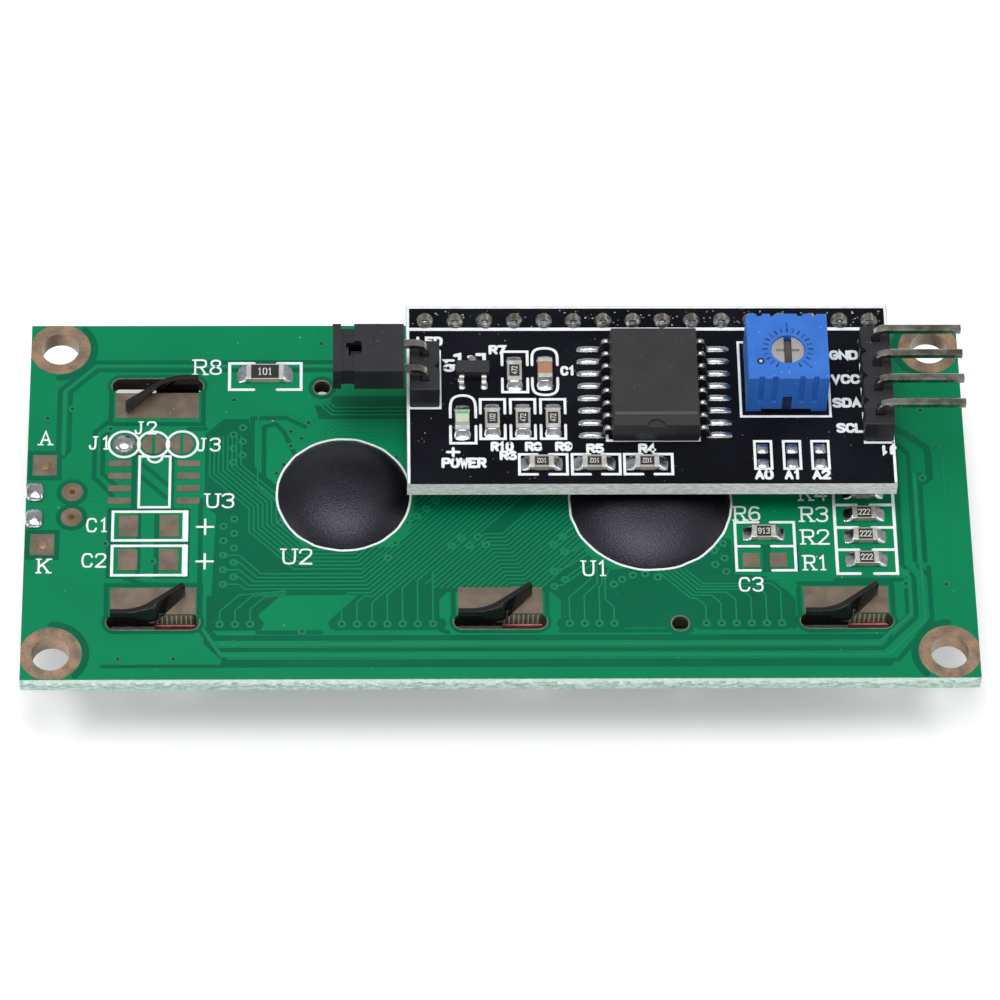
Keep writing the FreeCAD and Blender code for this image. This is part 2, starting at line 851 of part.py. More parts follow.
def make_backlight():
    low = lamp_box_level()
    height = board_front - low
    width = 2 * (zebra_y() - s.zebra_width / 2 - s.tray_gap)
    box_left = -bezel_length / 2 - s.lamp_box_reach
    half = bezel_length / 2 - s.sheet_thickness - s.tray_end_gap
    lamp_half = s.lamp_box_width / 2
    room_left = box_left + s.tray_wall
    room_right = half - s.tray_wall
    room_width = width - 2 * s.tray_wall
    tray = new_body("backlight_tray", y=s.display_y, z=low)
    plan = new_sketch(tray)
    outline(plan, [(-half, -width / 2), (half, -width / 2), (half, width / 2), (-half, width / 2),
                   (-half, lamp_half), (box_left, lamp_half), (box_left, -lamp_half),
                   (-half, -lamp_half)])
    pad(tray, plan, height)
    room = new_sketch(tray)
    outline(room, [(-half + s.tray_wall, -room_width / 2), (room_right, -room_width / 2),
                   (room_right, room_width / 2), (-half + s.tray_wall, room_width / 2),
                   (-half + s.tray_wall, lamp_half - s.tray_wall),
                   (room_left, lamp_half - s.tray_wall), (room_left, -lamp_half + s.tray_wall),
                   (-half + s.tray_wall, -lamp_half + s.tray_wall)])
    pocket(tray, room, height - s.tray_roof, up=True)
    guide_left = room_left + s.lamp_thickness + s.tray_gap
    guide_right = room_right - s.tray_gap
    guide_height = height - s.tray_roof
    guide = new_body("light_guide", y=s.display_y, z=low)
    guide_plan = new_sketch(guide)
    neck = lamp_half - s.tray_wall - s.tray_gap
    shoulder = -half + s.tray_wall + s.tray_gap
    outline(guide_plan, [(guide_left, -neck), (shoulder, -neck),
                         (shoulder, -room_width / 2 + s.tray_gap),
                         (guide_right, -room_width / 2 + s.tray_gap),
                         (guide_right, room_width / 2 - s.tray_gap),
                         (shoulder, room_width / 2 - s.tray_gap),
                         (shoulder, neck), (guide_left, neck)])
    pad(guide, guide_plan, guide_height)
    lamps = new_body("backlight_lamps", y=s.display_y, z=low + guide_height - s.lamp_height)
    lamp_plan = new_sketch(lamps)
    for side in (-1, 1):
        rectangle(lamp_plan, room_left + s.lamp_thickness / 2, s.lamp_spacing * side / 2,
                  s.lamp_thickness, s.lamp_width)
    pad(lamps, lamp_plan, s.lamp_height)
    make_lamp_leads(box_left)


def make_lamp_leads(box_left):
    # flat leads out of the lamp box and up through the half holes in the board's edge
    leads = []
    drop = board_front - s.lead_drop
    for name in ("lamp_lead_far", "lamp_lead_near"):
        edge, y = spot(name)
        outer = edge + s.lead_edge
        level = block("lamp_lead_level", (outer + box_left) / 2, y, drop, box_left - outer,
                      s.lead_width, s.lead_thickness)
        rise = block("lamp_lead_rise", outer + s.lead_thickness / 2, y, drop, s.lead_thickness,
                     s.lead_width, board_copper + s.lead_tip - drop)
        lead = doc.addObject("Part::Fuse", "lamp_lead")
        lead.Base = level
        lead.Tool = rise
        lead.Refine = True
        leads.append(lead)
    group = doc.addObject("Part::Compound", "backlight_leads")
    group.Links = leads
    keep(group, "backlight_leads")


def make_resin(label, radius):
    # drop of hard resin over a bare chip, turned from runs that bend over towards its rim
    body = new_body(label, *spot(label), board_rear)
    profile = new_sketch(body, "XZ_Plane")
    curve = [(radius * share, s.resin_height * (1 - share ** 3)) for share in (0, 0.6, 1)]
    outline(profile, [(0, 0)] + curve[::-1])
    revolve(body, profile)


def chip_sides(chip):
    # plan size of a chip: along X, along Y
    name, turned, length, width = chip
    return (width, length) if turned else (length, width)


def chip_rectangles(sketch, chip, inner, outer):
    # one rectangle at each end of a chip, from an inner to an outer distance along it
    name, turned, length, width = chip
    x, y = spot(name)
    middle, run = (inner + outer) / 2, outer - inner
    for end in (-1, 1):
        if turned:
            rectangle(sketch, x, y + middle * end, width, run)
        else:
            rectangle(sketch, x + middle * end, y, run, width)


def make_chips(label, chips, level, height):
    # flat chips: a body, its two metal ends and the solder round them
    body = new_body(label, z=level + s.copper_thickness)
    sketch = new_sketch(body)
    for chip in chips:
        along, across = chip_sides(chip)
        cut = 2 * s.chip_cap
        rectangle(sketch, *spot(chip[0]), along if chip[1] else along - cut,
                  across - cut if chip[1] else across)
    pad(body, sketch, height)
    ends = new_body(label + "_ends", z=level + s.copper_thickness)
    sketch = new_sketch(ends)
    for chip in chips:
        chip_rectangles(sketch, chip, chip[2] / 2 - s.chip_cap, chip[2] / 2)
    pad(ends, sketch, height + s.cap_wrap)


def make_solder(label, chips, level, height):
    # a sloping fillet of solder against each end of each chip
    fillets = []
    for name, turned, length, width in chips:
        for end in (-1, 1):
            fillet = doc.addObject("Part::Wedge", label + "_fillet")
            for side, sign in (("min", -1), ("max", 1)):
                bind(fillet, "Z" + side, (width / 2 + s.solder_side) * sign)
                bind(fillet, "Z2" + side, width / 2 * sign)
            fillet.Xmin = fillet.X2min = fillet.Ymin = 0
            bind(fillet, "Xmax", s.solder_reach)
            bind(fillet, "X2max", s.solder_crest)
            bind(fillet, "Ymax", height)
            turn = (90 if turned else 0) + (180 if end < 0 else 0)
            fillet.Placement.Rotation = (Rotation(Vector(0, 0, 1), turn)
                                         * Rotation(Vector(1, 0, 0), 90))
            x, y = spot(name)
            out = length / 2 * end
            place(fillet, x if turned else x + out, y + out if turned else y, level)
            fillets.append(fillet)
    group = doc.addObject("Part::Compound", label)
    group.Links = fillets
    keep(group, label)


def header_block(label, x, y, z, count, height, axis):
    # row of joined insulators with notched corners between the pins
    body = new_body(label, x, y, z)
    sketch = new_sketch(body)
    long, short = s.pitch * count, s.pitch
    along_x = axis == "X_Axis"
    rectangle(sketch, 0, 0, long if along_x else short, short if along_x else long)
    pad(body, sketch, height)
    notch = new_sketch(body)
    start = -s.pitch * (count / 2 - 1)
    depth = s.header_notch
    for side in (-1, 1):
        edge, inner = short / 2 * side, (short / 2 - depth) * side
        corners = [(start - depth, edge), (start, inner), (start + depth, edge)]
        outline(notch, corners if along_x else [(b, a) for a, b in corners])
    cut = pocket(body, notch, up=True)
    if count > 2:
        row_of(body, [cut], axis, s.pitch * (count - 2), count - 1)
    holes = new_sketch(body)
    start = -s.pitch * (count - 1) / 2
    rectangle(holes, start if along_x else 0, 0 if along_x else start, s.pin_size, s.pin_size)
    hole = pocket(body, holes, up=True)
    row_of(body, [hole], axis, s.pitch * (count - 1), count)


def make_header():
    header_block("header_strip", header_left + header_span / 2, header_y, board_rear,
                 header_count, s.header_height, "X_Axis")
    low = board_front - s.pin_tail
    high = adapter_rear + s.pin_tip
    half, point = s.pin_size / 2, s.pin_point
    pins = new_body("header_pins", header_left, header_y, low)
    profile = new_sketch(pins, "XZ_Plane", offset=-half)
    outline(profile, [(point - half, 0), (half - point, 0), (half, point), (half, high - low - point),
                      (half - point, high - low), (point - half, high - low),
                      (-half, high - low - point), (-half, point)])
    pin = pad(pins, profile, s.pin_size)
    row_of(pins, [pin], "X_Axis", header_span, header_count)
    for label, level, side in (("header_solder_front", board_front, -1),
                               ("header_solder_rear", adapter_rear, 1)):
        joints = new_body(label, header_left, header_y, level)
        foot = new_sketch(joints)
        eight_sided(foot, 0, 0, s.joint_radius)
        drop = pad(joints, foot, s.joint_height, down=side < 0)
        row = row_of(joints, [drop], "X_Axis", header_span, header_count)
        bevel_level(joints, row, s.joint_height * side, s.joint_bevel)
        core = new_sketch(joints)
        rectangle(core, 0, 0, s.pin_size, s.pin_size)
        cut = pocket(joints, core, up=side > 0)
        row_of(joints, [cut], "X_Axis", header_span, header_count)


def make_adapter_board():
    body = new_body("adapter_board", z=adapter_front)
    sketch = new_sketch(body)
    rectangle(sketch, adapter_x, adapter_y, adapter_length, s.adapter_width)
    pad(body, sketch, s.adapter_thickness)
    openings = new_sketch(body)
    for x, y in trimmer_pin_places():
        eight_sided(openings, x, y, s.trimmer_pin_hole)
    pocket(body, openings, up=True)
    for name, count in (("bus_header", bus_count), ("jumper_header", jumper_count)):
        x, y = spot(name)
        hole_row(body, x, y - s.pitch * (count - 1) / 2, "Y_Axis", count)
    hole_row(body, header_left, header_y, "X_Axis", header_count)


def trimmer_pin_places():
    x, y = spot("trimmer")
    return [(x + across * s.pitch, y + along * s.pitch) for across, along in trimmer_pins]


def make_expander():
    x, y = spot("expander")
    low = adapter_rear + s.expander_standoff
    half_height = (s.expander_height - s.expander_band) / 2
    body = new_body("expander_body", x, y, low)
    middle = new_sketch(body, offset=half_height)
    rectangle(middle, 0, 0, s.expander_width, s.expander_length)
    pad(body, middle, s.expander_band)
    upper = new_sketch(body, offset=half_height + s.expander_band)
    rectangle(upper, 0, 0, s.expander_width, s.expander_length)
    pad(body, upper, half_height, taper=-s.expander_draft)
    lower = new_sketch(body, offset=half_height)
    rectangle(lower, 0, 0, s.expander_width, s.expander_length)
    pad(body, lower, half_height, down=True, taper=-s.expander_draft)
    notch = new_sketch(body, offset=s.expander_height)
    circle(notch, 0, -s.expander_length / 2, s.expander_notch)
    pocket(body, notch, s.notch_depth)
    leads = new_body("expander_leads", x, y, adapter_copper)
    profile = new_sketch(leads, "XZ_Plane", offset=s.expander_pitch * 3.5 - s.expander_lead / 2)
    sheet_up = s.expander_sheet
    inner = s.expander_width / 2
    outer = s.expander_span / 2
    rise = s.expander_standoff - s.copper_thickness + s.expander_height / 2 + sheet_up / 2
    knee = outer - s.expander_foot
    bend = s.expander_bend
    outline(profile, [
        (inner, rise), (inner, rise - sheet_up), (knee, rise - sheet_up), (knee, 0),
        (outer, 0), (outer, sheet_up), (knee + sheet_up, sheet_up),
        (knee + sheet_up, rise - bend), (knee + sheet_up - bend, rise)])
    lead = pad(leads, profile, s.expander_lead)
    both_sides(leads, [lead])
    solder = new_body("expander_solder", x, y, adapter_rear)
    profile = new_sketch(solder, "XZ_Plane",
                         offset=s.expander_pitch * 3.5 - s.expander_land_width / 2)
    heel = knee - s.expander_land / 4
    toe = outer + s.expander_land
    base = s.copper_thickness
    outline(profile, [(heel, 0), (toe, 0), (outer + s.expander_land / 3, base * 2),
                      (outer, base + s.solder_rise), (outer, base), (heel, base)])
    land = pad(solder, profile, s.expander_land_width)
    both_sides(solder, [land])


def both_sides(body, features):
    # eight along Y, and the same again on the other side
    spread = body.newObject("PartDesign::MultiTransform", body.Label + "_sides")
    spread.Originals = features
    along = body.newObject("PartDesign::LinearPattern", body.Label + "_along")
    along.Direction = (origin_feature(body, "Y_Axis"), [""])
    bind(along, "Length", s.expander_pitch * 7)
    along.Occurrences = 8
    across = body.newObject("PartDesign::Mirrored", body.Label + "_across")
    across.MirrorPlane = (origin_feature(body, "YZ_Plane"), [""])
    spread.Transformations = [along, across]
    body.Tip = spread
    doc.recompute()


def make_transistor():
    x, y = spot("transistor")
    half_height = (s.transistor_height - s.transistor_band) / 2
    body = new_body("transistor_body", x, y, adapter_copper)
    middle = new_sketch(body, offset=half_height)
    rectangle(middle, 0, 0, s.transistor_length, s.transistor_width)
    pad(body, middle, s.transistor_band)
    for down, level in ((False, half_height + s.transistor_band), (True, half_height)):
        sketch = new_sketch(body, offset=level)
        rectangle(sketch, 0, 0, s.transistor_length, s.transistor_width)
        pad(body, sketch, half_height, down=down, taper=-s.transistor_draft)
    leads = new_body("transistor_leads", x, y, adapter_copper)
    rise = s.transistor_height / 2 + s.transistor_sheet / 2
    knee = s.transistor_width / 2 + s.transistor_bend
    reach = s.transistor_span / 2
    sheet_up = s.transistor_sheet
    inner = s.transistor_width / 2
    for side, shift in ((-1, -s.transistor_reach), (-1, s.transistor_reach), (1, formula(0))):
        profile = new_sketch(leads, "YZ_Plane", offset=shift)
        corners = [(inner, rise), (inner, rise - sheet_up), (knee, rise - sheet_up), (knee, 0),
                   (reach, 0), (reach, sheet_up), (knee + sheet_up, sheet_up),
                   (knee + sheet_up, rise)]
        outline(profile, [(a * side, b) for a, b in corners])
        pad(leads, profile, s.transistor_lead, midplane=True)


def make_power_lamp():
    x, y = spot("power_lamp")
    level = adapter_copper
    base = new_body("power_lamp", x, y, level)
    foot = new_sketch(base)
    rectangle(foot, 0, 0, s.chip_width, s.chip_length - 2 * s.chip_cap)
    pad(base, foot, s.chip_height)
    lens = new_sketch(base, offset=s.chip_height)
    rectangle(lens, 0, 0, s.chip_width, s.lens_length)
    pad(base, lens, s.lens_height, taper=-s.lens_draft)
    ends = new_body("power_lamp_ends", z=level)
    sketch = new_sketch(ends)
    chip_rectangles(sketch, lamp_chip, s.chip_length / 2 - s.chip_cap, s.chip_length / 2)
    pad(ends, sketch, s.chip_height)


def make_address_pads():
    # three pairs of open solder pads that set the address
    body = new_body("address_pads", z=adapter_rear)
    sketch = new_sketch(body)
    for name in ("address_one", "address_two", "address_three"):
        x, y = spot(name)
        for side in (-1, 1):
            rectangle(sketch, x, y + s.address_spacing / 2 * side, s.address_pad, s.address_pad)
    pad(body, sketch, s.address_height, taper=-s.address_slope)


def make_trimmer():
    # the housing is drawn from the rotor's axis, which lies off its middle
    x, y = spot("trimmer")
    base = s.trimmer_foot
    middle = -s.rotor_y
    housing = new_body("trimmer_housing", x, y + s.rotor_y, adapter_rear)
    plan = new_sketch(housing, offset=base)
    rectangle(plan, 0, middle, s.trimmer_length, s.trimmer_width)
    pad(housing, plan, s.trimmer_height - base)
    feet = new_sketch(housing)
    for side in (-1, 1):
        for end in (-1, 1):
            rectangle(feet, (s.trimmer_length - s.trimmer_foot_size) / 2 * side,
                      middle + (s.trimmer_width - s.trimmer_foot_size) / 2 * end,
                      s.trimmer_foot_size, s.trimmer_foot_size)
    pad(housing, feet, base)
    chamber = new_sketch(housing, offset=base)
    circle(chamber, 0, 0, s.trimmer_chamber)
    pocket(housing, chamber, s.trimmer_height - s.trimmer_roof - base, up=True)
    mouth = new_sketch(housing, offset=s.trimmer_height)
    circle(mouth, 0, 0, s.rotor_radius + s.rotor_clearance)
    pocket(housing, mouth)
    for side in (-1, 1):
        grooves = new_sketch(housing, offset=s.trimmer_height)
        for step in (-2, -1, 1, 2):
            rectangle(grooves, s.side_groove_spacing * step,
                      middle + (s.trimmer_width - s.side_groove_depth) / 2 * side,
                      s.side_groove_width, s.side_groove_depth)
        pocket(housing, grooves, s.trimmer_height - s.trimmer_roof - base)
    recess = new_sketch(housing, offset=base)
    rectangle(recess, 0, middle - (s.trimmer_width - s.side_groove_depth) / 2,
              s.side_recess_width, s.side_groove_depth)
    pocket(housing, recess, s.side_recess_height, up=True)
    tick = new_sketch(housing, offset=s.trimmer_height)
    rectangle(tick, 0, (s.tick_inner + s.tick_outer) / 2, s.tick_width, s.tick_outer - s.tick_inner)
    mark = pocket(housing, tick, s.tick_depth)
    ring = housing.newObject("PartDesign::PolarPattern", "trimmer_ticks")
    ring.Originals = [mark]
    ring.Axis = (origin_feature(housing, "Z_Axis"), [""])
    ring.Angle = 360
    ring.Occurrences = tick_count
    housing.Tip = ring
    doc.recompute()
    make_trimmer_rotor(x, y + s.rotor_y)
    make_trimmer_inside(x, y + s.rotor_y)


def make_trimmer_rotor(x, y):
    top = s.trimmer_height - s.rotor_sink
    under_roof = s.trimmer_height - s.trimmer_roof - s.rotor_clearance
    low = under_roof - s.flange_height
    rotor = new_body("trimmer_rotor", x, y, adapter_rear)
    profile = new_sketch(rotor, "XZ_Plane")
    outline(profile, [(0, low), (s.flange_radius, low), (s.flange_radius, under_roof),
                      (s.rotor_radius, under_roof), (s.rotor_radius, top), (0, top)])
    revolve(rotor, profile)
    slot = new_sketch(rotor, offset=top)
    rectangle(slot, 0, 0, s.rotor_slot_width, s.rotor_radius * 3)
    pocket(rotor, slot, s.rotor_slot_depth)
    cross = new_sketch(rotor, offset=top)
    rectangle(cross, 0, 0, s.rotor_cross_length, s.rotor_cross_width)
    pocket(rotor, cross, s.rotor_cross_depth)
    wiper = new_body("trimmer_wiper", x, y, adapter_rear + low)
    bar = new_sketch(wiper)
    rectangle(bar, 0, 0, s.wiper_length, s.wiper_width)
    pad(wiper, bar, s.wiper_thickness, down=True)
    finger = new_sketch(wiper, offset=-s.wiper_thickness)
    rectangle(finger, (s.wiper_length - s.wiper_width) / 2, 0, s.wiper_width / 2, s.wiper_width)
    reach = low - s.wiper_thickness - s.trimmer_foot - s.element_thickness - s.wiper_clearance
    pad(wiper, finger, reach, down=True)


def make_trimmer_inside(x, y):
    element = doc.addObject("Part::Cylinder", "trimmer_element")
    bind(element, "Radius", s.trimmer_chamber - s.element_clearance)
    bind(element, "Height", s.element_thickness)
    place(element, x, y, adapter_rear + s.trimmer_foot)
    keep(element, "trimmer_element")
    low = adapter_front - s.connector_tail
    pins = [block("trimmer_pin", pin_x, pin_y, low, s.trimmer_pin_length, s.trimmer_pin_width,
                  adapter_rear + s.trimmer_foot - low)
            for pin_x, pin_y in trimmer_pin_places()]
    group = doc.addObject("Part::Compound", "trimmer_pins")
    group.Links = pins
    keep(group, "trimmer_pins")


def bent_pins(label, name, side, reach, count):
    # square pins up through the block, bent over and pointed, in a row along Y
    x, y = spot(name)
    low = adapter_front - s.connector_tail
    level = adapter_rear + s.bend_height - low
    half = s.pin_size / 2
    row = s.pitch * (count - 1)
    body = new_body(label, x, y, low)
    profile = new_sketch(body, "XZ_Plane", offset=row / 2 - half)
    point = s.pin_point
    inner_cut = s.bend_cut
    outer_cut = s.bend_cut + s.pin_size / 2
    outline(profile, [
        (-half * side + point * side, 0), (half * side - point * side, 0),
        (half * side, point), (half * side, level - half - inner_cut),
        ((half + inner_cut) * side, level - half), ((reach - point) * side, level - half),
        (reach * side, level - half + point), (reach * side, level + half - point),
        ((reach - point) * side, level + half), ((outer_cut - half) * side, level + half),
        (-half * side, level + half - outer_cut), (-half * side, point)])
    pin = pad(body, profile, s.pin_size)
    row_of(body, [pin], "Y_Axis", row, count)


def make_connectors():
    header_block("bus_header_block", *spot("bus_header"), adapter_rear, bus_count,
                 s.block_height, "Y_Axis")
    bent_pins("bus_header_pins", "bus_header", 1, s.bus_reach, bus_count)
    header_block("jumper_header_block", *spot("jumper_header"), adapter_rear, jumper_count,
                 s.block_height, "Y_Axis")
    bent_pins("jumper_header_pins", "jumper_header", -1, s.jumper_reach, jumper_count)
    joints = new_body("connector_joints", z=adapter_front, inner=True)
    feet = new_sketch(joints)
    for x, y in trimmer_pin_places():
        eight_sided(feet, x, y, s.joint_radius)
    pad(joints, feet, s.joint_height, down=True)
    for name, count in (("bus_header", bus_count), ("jumper_header", jumper_count)):
        x, y = spot(name)
        span = s.pitch * (count - 1)
        foot = new_sketch(joints)
        eight_sided(foot, x, y - span / 2, s.joint_radius)
        drop = pad(joints, foot, s.joint_height, down=True)
        row = row_of(joints, [drop], "Y_Axis", span, count)
    bevel_level(joints, row, -s.joint_height, s.joint_bevel)
    pins = doc.addObject("Part::Compound", "connector_pins")
    pins.Links = [doc.getObject("bus_header_pins"), doc.getObject("jumper_header_pins"),
                  doc.getObject("trimmer_pins")]
    solder = doc.addObject("Part::Cut", "connector_solder")
    solder.Base = joints
    solder.Tool = pins
    keep(solder, "connector_solder")


def make_jumper_cap():
    # two-way cap: main part, neck and rim to grip, with a tunnel for each pin
    x, y = spot("jumper_header")
    z = adapter_rear + s.bend_height
    right = -s.pitch / 2 - s.cap_gap
    main_left = right - s.cap_length
    neck_left = main_left - s.cap_neck
    rim_left = neck_left - s.cap_rim
    slot_left = neck_left + s.cap_end_wall
    cap = new_body("jumper_cap", x, y, z)
    for left, end, width, thickness in (
            (main_left, right, s.cap_width, s.cap_thickness),
            (neck_left, main_left, s.neck_width, s.neck_thickness),
            (rim_left, neck_left, s.cap_width, s.cap_thickness)):
        plan = new_sketch(cap, offset=-thickness / 2)
        rectangle(plan, (left + end) / 2, 0, end - left, width)
        pad(cap, plan, thickness)
    tunnels = new_sketch(cap, offset=-s.tunnel_height / 2)
    for side in (-1, 1):
        rectangle(tunnels, (slot_left + right) / 2, s.pitch / 2 * side, right - slot_left,
                  s.tunnel_width)
    pocket(cap, tunnels, s.tunnel_height, up=True)
    bridge = new_sketch(cap, offset=-s.tunnel_height / 2)
    rectangle(bridge, slot_left + s.clip_thickness, 0, s.clip_thickness * 2,
              s.pitch + s.tunnel_width - s.clip_thickness)
    pocket(cap, bridge, s.tunnel_height, up=True)
    window = new_sketch(cap, offset=s.cap_thickness / 2)
    half, inner = s.cap_window_width / 2, slot_left + s.cap_window_length
    outline(window, [(slot_left, -half), (inner, -half, s.cap_window_round),
                     (inner, half, s.cap_window_round), (slot_left, half)])
    pocket(cap, window, s.cap_thickness / 2)
    clip = new_body("jumper_clip", x, y, z - s.clip_height / 2)
    comb = new_sketch(clip)
    rectangle(comb, slot_left + s.clip_thickness / 2, 0, s.clip_thickness,
              s.pitch + s.pin_size + 2 * (s.clip_clearance + s.clip_thickness))
    pad(clip, comb, s.clip_height)
    arms = new_sketch(clip)
    for side in (-1, 1):
        for edge in (-1, 1):
            middle = s.pin_size / 2 + s.clip_clearance + s.clip_thickness / 2
            rectangle(arms, slot_left + s.clip_thickness + s.clip_reach / 2,
                      s.pitch / 2 * side + middle * edge, s.clip_reach, s.clip_thickness)
    pad(clip, arms, s.clip_height)


board_chips = [
    ("lamp_resistor", False, s.large_chip_length, s.large_chip_width),
    ("clock_resistor", False, s.chip_length, s.chip_width),
    ("bias_one", False, s.chip_length, s.chip_width),
    ("bias_two", False, s.chip_length, s.chip_width),
    ("bias_three", False, s.chip_length, s.chip_width),
    ("bias_four", False, s.chip_length, s.chip_width),
]
adapter_chips = [
    ("base_resistor", True, s.chip_length, s.chip_width),
    ("pull_one", True, s.chip_length, s.chip_width),
    ("pull_two", True, s.chip_length, s.chip_width),
    ("pull_three", True, s.chip_length, s.chip_width),
    ("line_one", False, s.chip_length, s.chip_width),
    ("line_two", False, s.chip_length, s.chip_width),
    ("line_three", False, s.chip_length, s.chip_width),
]
capacitor_chips = [("supply_capacitor", True, s.chip_length, s.chip_width)]
lamp_chip = ("power_lamp", True, s.chip_length, s.chip_width)

make_main_board()
make_fixing_pads()
make_tab_pads()
make_bare_pads()
make_bezel()
make_glass()
make_zebra_strips()
make_backlight()
make_land_solder()
make_resin("left_resin", s.left_resin_radius)
make_resin("right_resin", s.right_resin_radius)
make_chips("board_resistors", board_chips, board_rear, s.chip_height)
make_solder("board_solder", board_chips, board_rear, s.chip_height)
make_header()
make_adapter_board()
make_expander()
make_transistor()
make_power_lamp()
make_chips("adapter_resistors", adapter_chips, adapter_rear, s.chip_height)
make_chips("supply_capacitor", capacitor_chips, adapter_rear, s.capacitor_height)
make_solder("adapter_solder", adapter_chips + capacitor_chips + [lamp_chip], adapter_rear,
            s.chip_height)
make_address_pads()
make_trimmer()
make_connectors()
make_jumper_cap()
doc.recompute()

for thing in doc.Objects:
    if "Invalid" in thing.State or "Error" in thing.State:
        raise RuntimeError("failed to build: " + thing.Name)
for node in nodes:
    if node.Shape.isNull() or not node.Shape.isValid():
        raise RuntimeError("no valid shape: " + node.Label)
for node in nodes:
    node.Shape.exportStep("parts/%s.step" % node.Label)
print("wrote", len(nodes), "parts")
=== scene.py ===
import bmesh
import bpy
import math
import random
from mathutils import Matrix, Vector, noise


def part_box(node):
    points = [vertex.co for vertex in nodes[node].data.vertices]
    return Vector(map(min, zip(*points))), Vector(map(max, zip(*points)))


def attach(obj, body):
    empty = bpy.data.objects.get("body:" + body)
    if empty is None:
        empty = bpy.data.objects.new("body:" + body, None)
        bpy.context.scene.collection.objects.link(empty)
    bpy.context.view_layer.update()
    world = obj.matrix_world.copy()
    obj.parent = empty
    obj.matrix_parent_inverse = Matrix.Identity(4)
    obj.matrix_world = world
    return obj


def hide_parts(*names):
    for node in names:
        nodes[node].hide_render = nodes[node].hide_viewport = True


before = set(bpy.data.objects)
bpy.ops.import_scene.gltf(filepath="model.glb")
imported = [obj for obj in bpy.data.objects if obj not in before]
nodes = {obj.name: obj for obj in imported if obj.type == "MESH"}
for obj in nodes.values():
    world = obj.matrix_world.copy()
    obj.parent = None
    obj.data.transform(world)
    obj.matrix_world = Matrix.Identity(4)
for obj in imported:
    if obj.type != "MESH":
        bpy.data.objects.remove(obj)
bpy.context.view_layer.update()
scene = bpy.context.scene
mm = 0.001
rng = random.Random(7)

# levels of the two boards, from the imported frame, in mm
boardFront, boardTop = [corner.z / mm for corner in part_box("main_board")]
adapterFront, adapterTop = [corner.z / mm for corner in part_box("adapter_board")]
print("frame loaded:", len(nodes), "nodes")


def middleOf(name):  # middle of a node of the frame, in mm
    return [(a + b) / 2 / mm for a, b in zip(*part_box(name))]


# small helpers for meshes
layers = {"step": 0.0007, "count": 13, "slope": 0.6}  # lift of overlapping lines, and the lean of their sides


class Shape:  # gathers points and faces of one piece, in mm
    def __init__(self):
        self.points = []
        self.faces = []
        self.count = 0

    def lift(self):  # overlapping lines lie a hair above each other, so that none share a plane
        self.count += 1
        return layers["step"] * (self.count % layers["count"])

    def add(self, points, faces):
        base = len(self.points)
        self.points += points
        self.faces += [[base + i for i in face] for face in faces]


def newPiece(name, shape, finish, body="module", smooth=False, replaces=()):
    mesh = bpy.data.meshes.new(name)
    mesh.from_pydata([(x * mm, y * mm, z * mm) for x, y, z in shape.points], [], shape.faces)
    mesh.validate()
    for polygon in mesh.polygons:
        polygon.use_smooth = smooth
    piece = bpy.data.objects.new(name, mesh)
    scene.collection.objects.link(piece)
    mesh.materials.append(bpy.data.materials[finish])
    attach(piece, body)
    if replaces:
        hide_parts(*replaces)
    return piece


def unit(x, y):
    length = math.hypot(x, y) or 1.0
    return x / length, y / length


def turnedSpot(x, y, turn, a, b):  # the spot a, b beside x, y, turned about it by some degrees
    c, s = math.cos(math.radians(turn)), math.sin(math.radians(turn))
    return x + a * c - b * s, y + a * s + b * c


def ringFaces(rings, count):  # quads between closed loops of points
    return [[r * count + i, r * count + (i + 1) % count, (r + 1) * count + (i + 1) % count,
             (r + 1) * count + i]
            for r in range(rings) for i in range(count)]


def flipped(quads):
    return [[a, d, c, b] for a, b, c, d in quads]


def sideways(path, distance, closed=False):  # the same path, moved to its left
    moved = []
    count = len(path)
    for i, (x, y) in enumerate(path):
        before = path[i - 1] if i or closed else None
        after = path[(i + 1) % count] if i < count - 1 or closed else None
        ahead = unit(after[0] - x, after[1] - y) if after else None
        behind = unit(x - before[0], y - before[1]) if before else ahead
        ahead = ahead or behind
        bendX, bendY = unit(-behind[1] - ahead[1], behind[0] + ahead[0])
        reach = distance / max(0.45, bendX * -ahead[1] + bendY * ahead[0])
        moved.append((x + bendX * reach, y + bendY * reach))
    return moved


def edgeLoop(path, half):  # outline of a line with round ends
    left = sideways(path, half)
    right = sideways(path, -half)
    loop = list(left)
    for tip, first in ((path[-1], left[-1]), (path[0], right[0])):
        if first is right[0]:
            loop += right[::-1]
        start = math.atan2(first[1] - tip[1], first[0] - tip[0])
        for step in (1, 2, 3):
            turn = start - math.pi * step / 4
            loop.append((tip[0] + half * math.cos(turn), tip[1] + half * math.sin(turn)))
    return loop


def line(shape, path, width, level, rise=0.02):  # raised line, such as a trace or a silk stroke
    rise += shape.lift()
    top = edgeLoop(path, width / 2)
    foot = edgeLoop(path, width / 2 + rise * layers["slope"])
    count, total = len(path), len(top)
    points = [(x, y, level + rise) for x, y in top] + [(x, y, level) for x, y in foot]
    back = count + 3  # the right side runs back from here
    faces = [[i, i + 1, back + count - 2 - i, back + count - 1 - i][::-1] for i in range(count - 1)]
    faces.append(list(range(count - 1, count + 4))[::-1])
    faces.append(([*range(back + count - 1, total), 0])[::-1])
    shape.add(points, faces + ringFaces(1, total))


def loopLine(shape, path, width, level, rise=0.02):  # the same, closed
    rise += shape.lift()
    lean = rise * layers["slope"]
    points = []
    for offset, height in ((-width / 2 - lean, level), (-width / 2, level + rise),
                           (width / 2, level + rise), (width / 2 + lean, level)):
        points += [(x, y, height) for x, y in sideways(path, offset, True)]
    shape.add(points, ringFaces(3, len(path)))


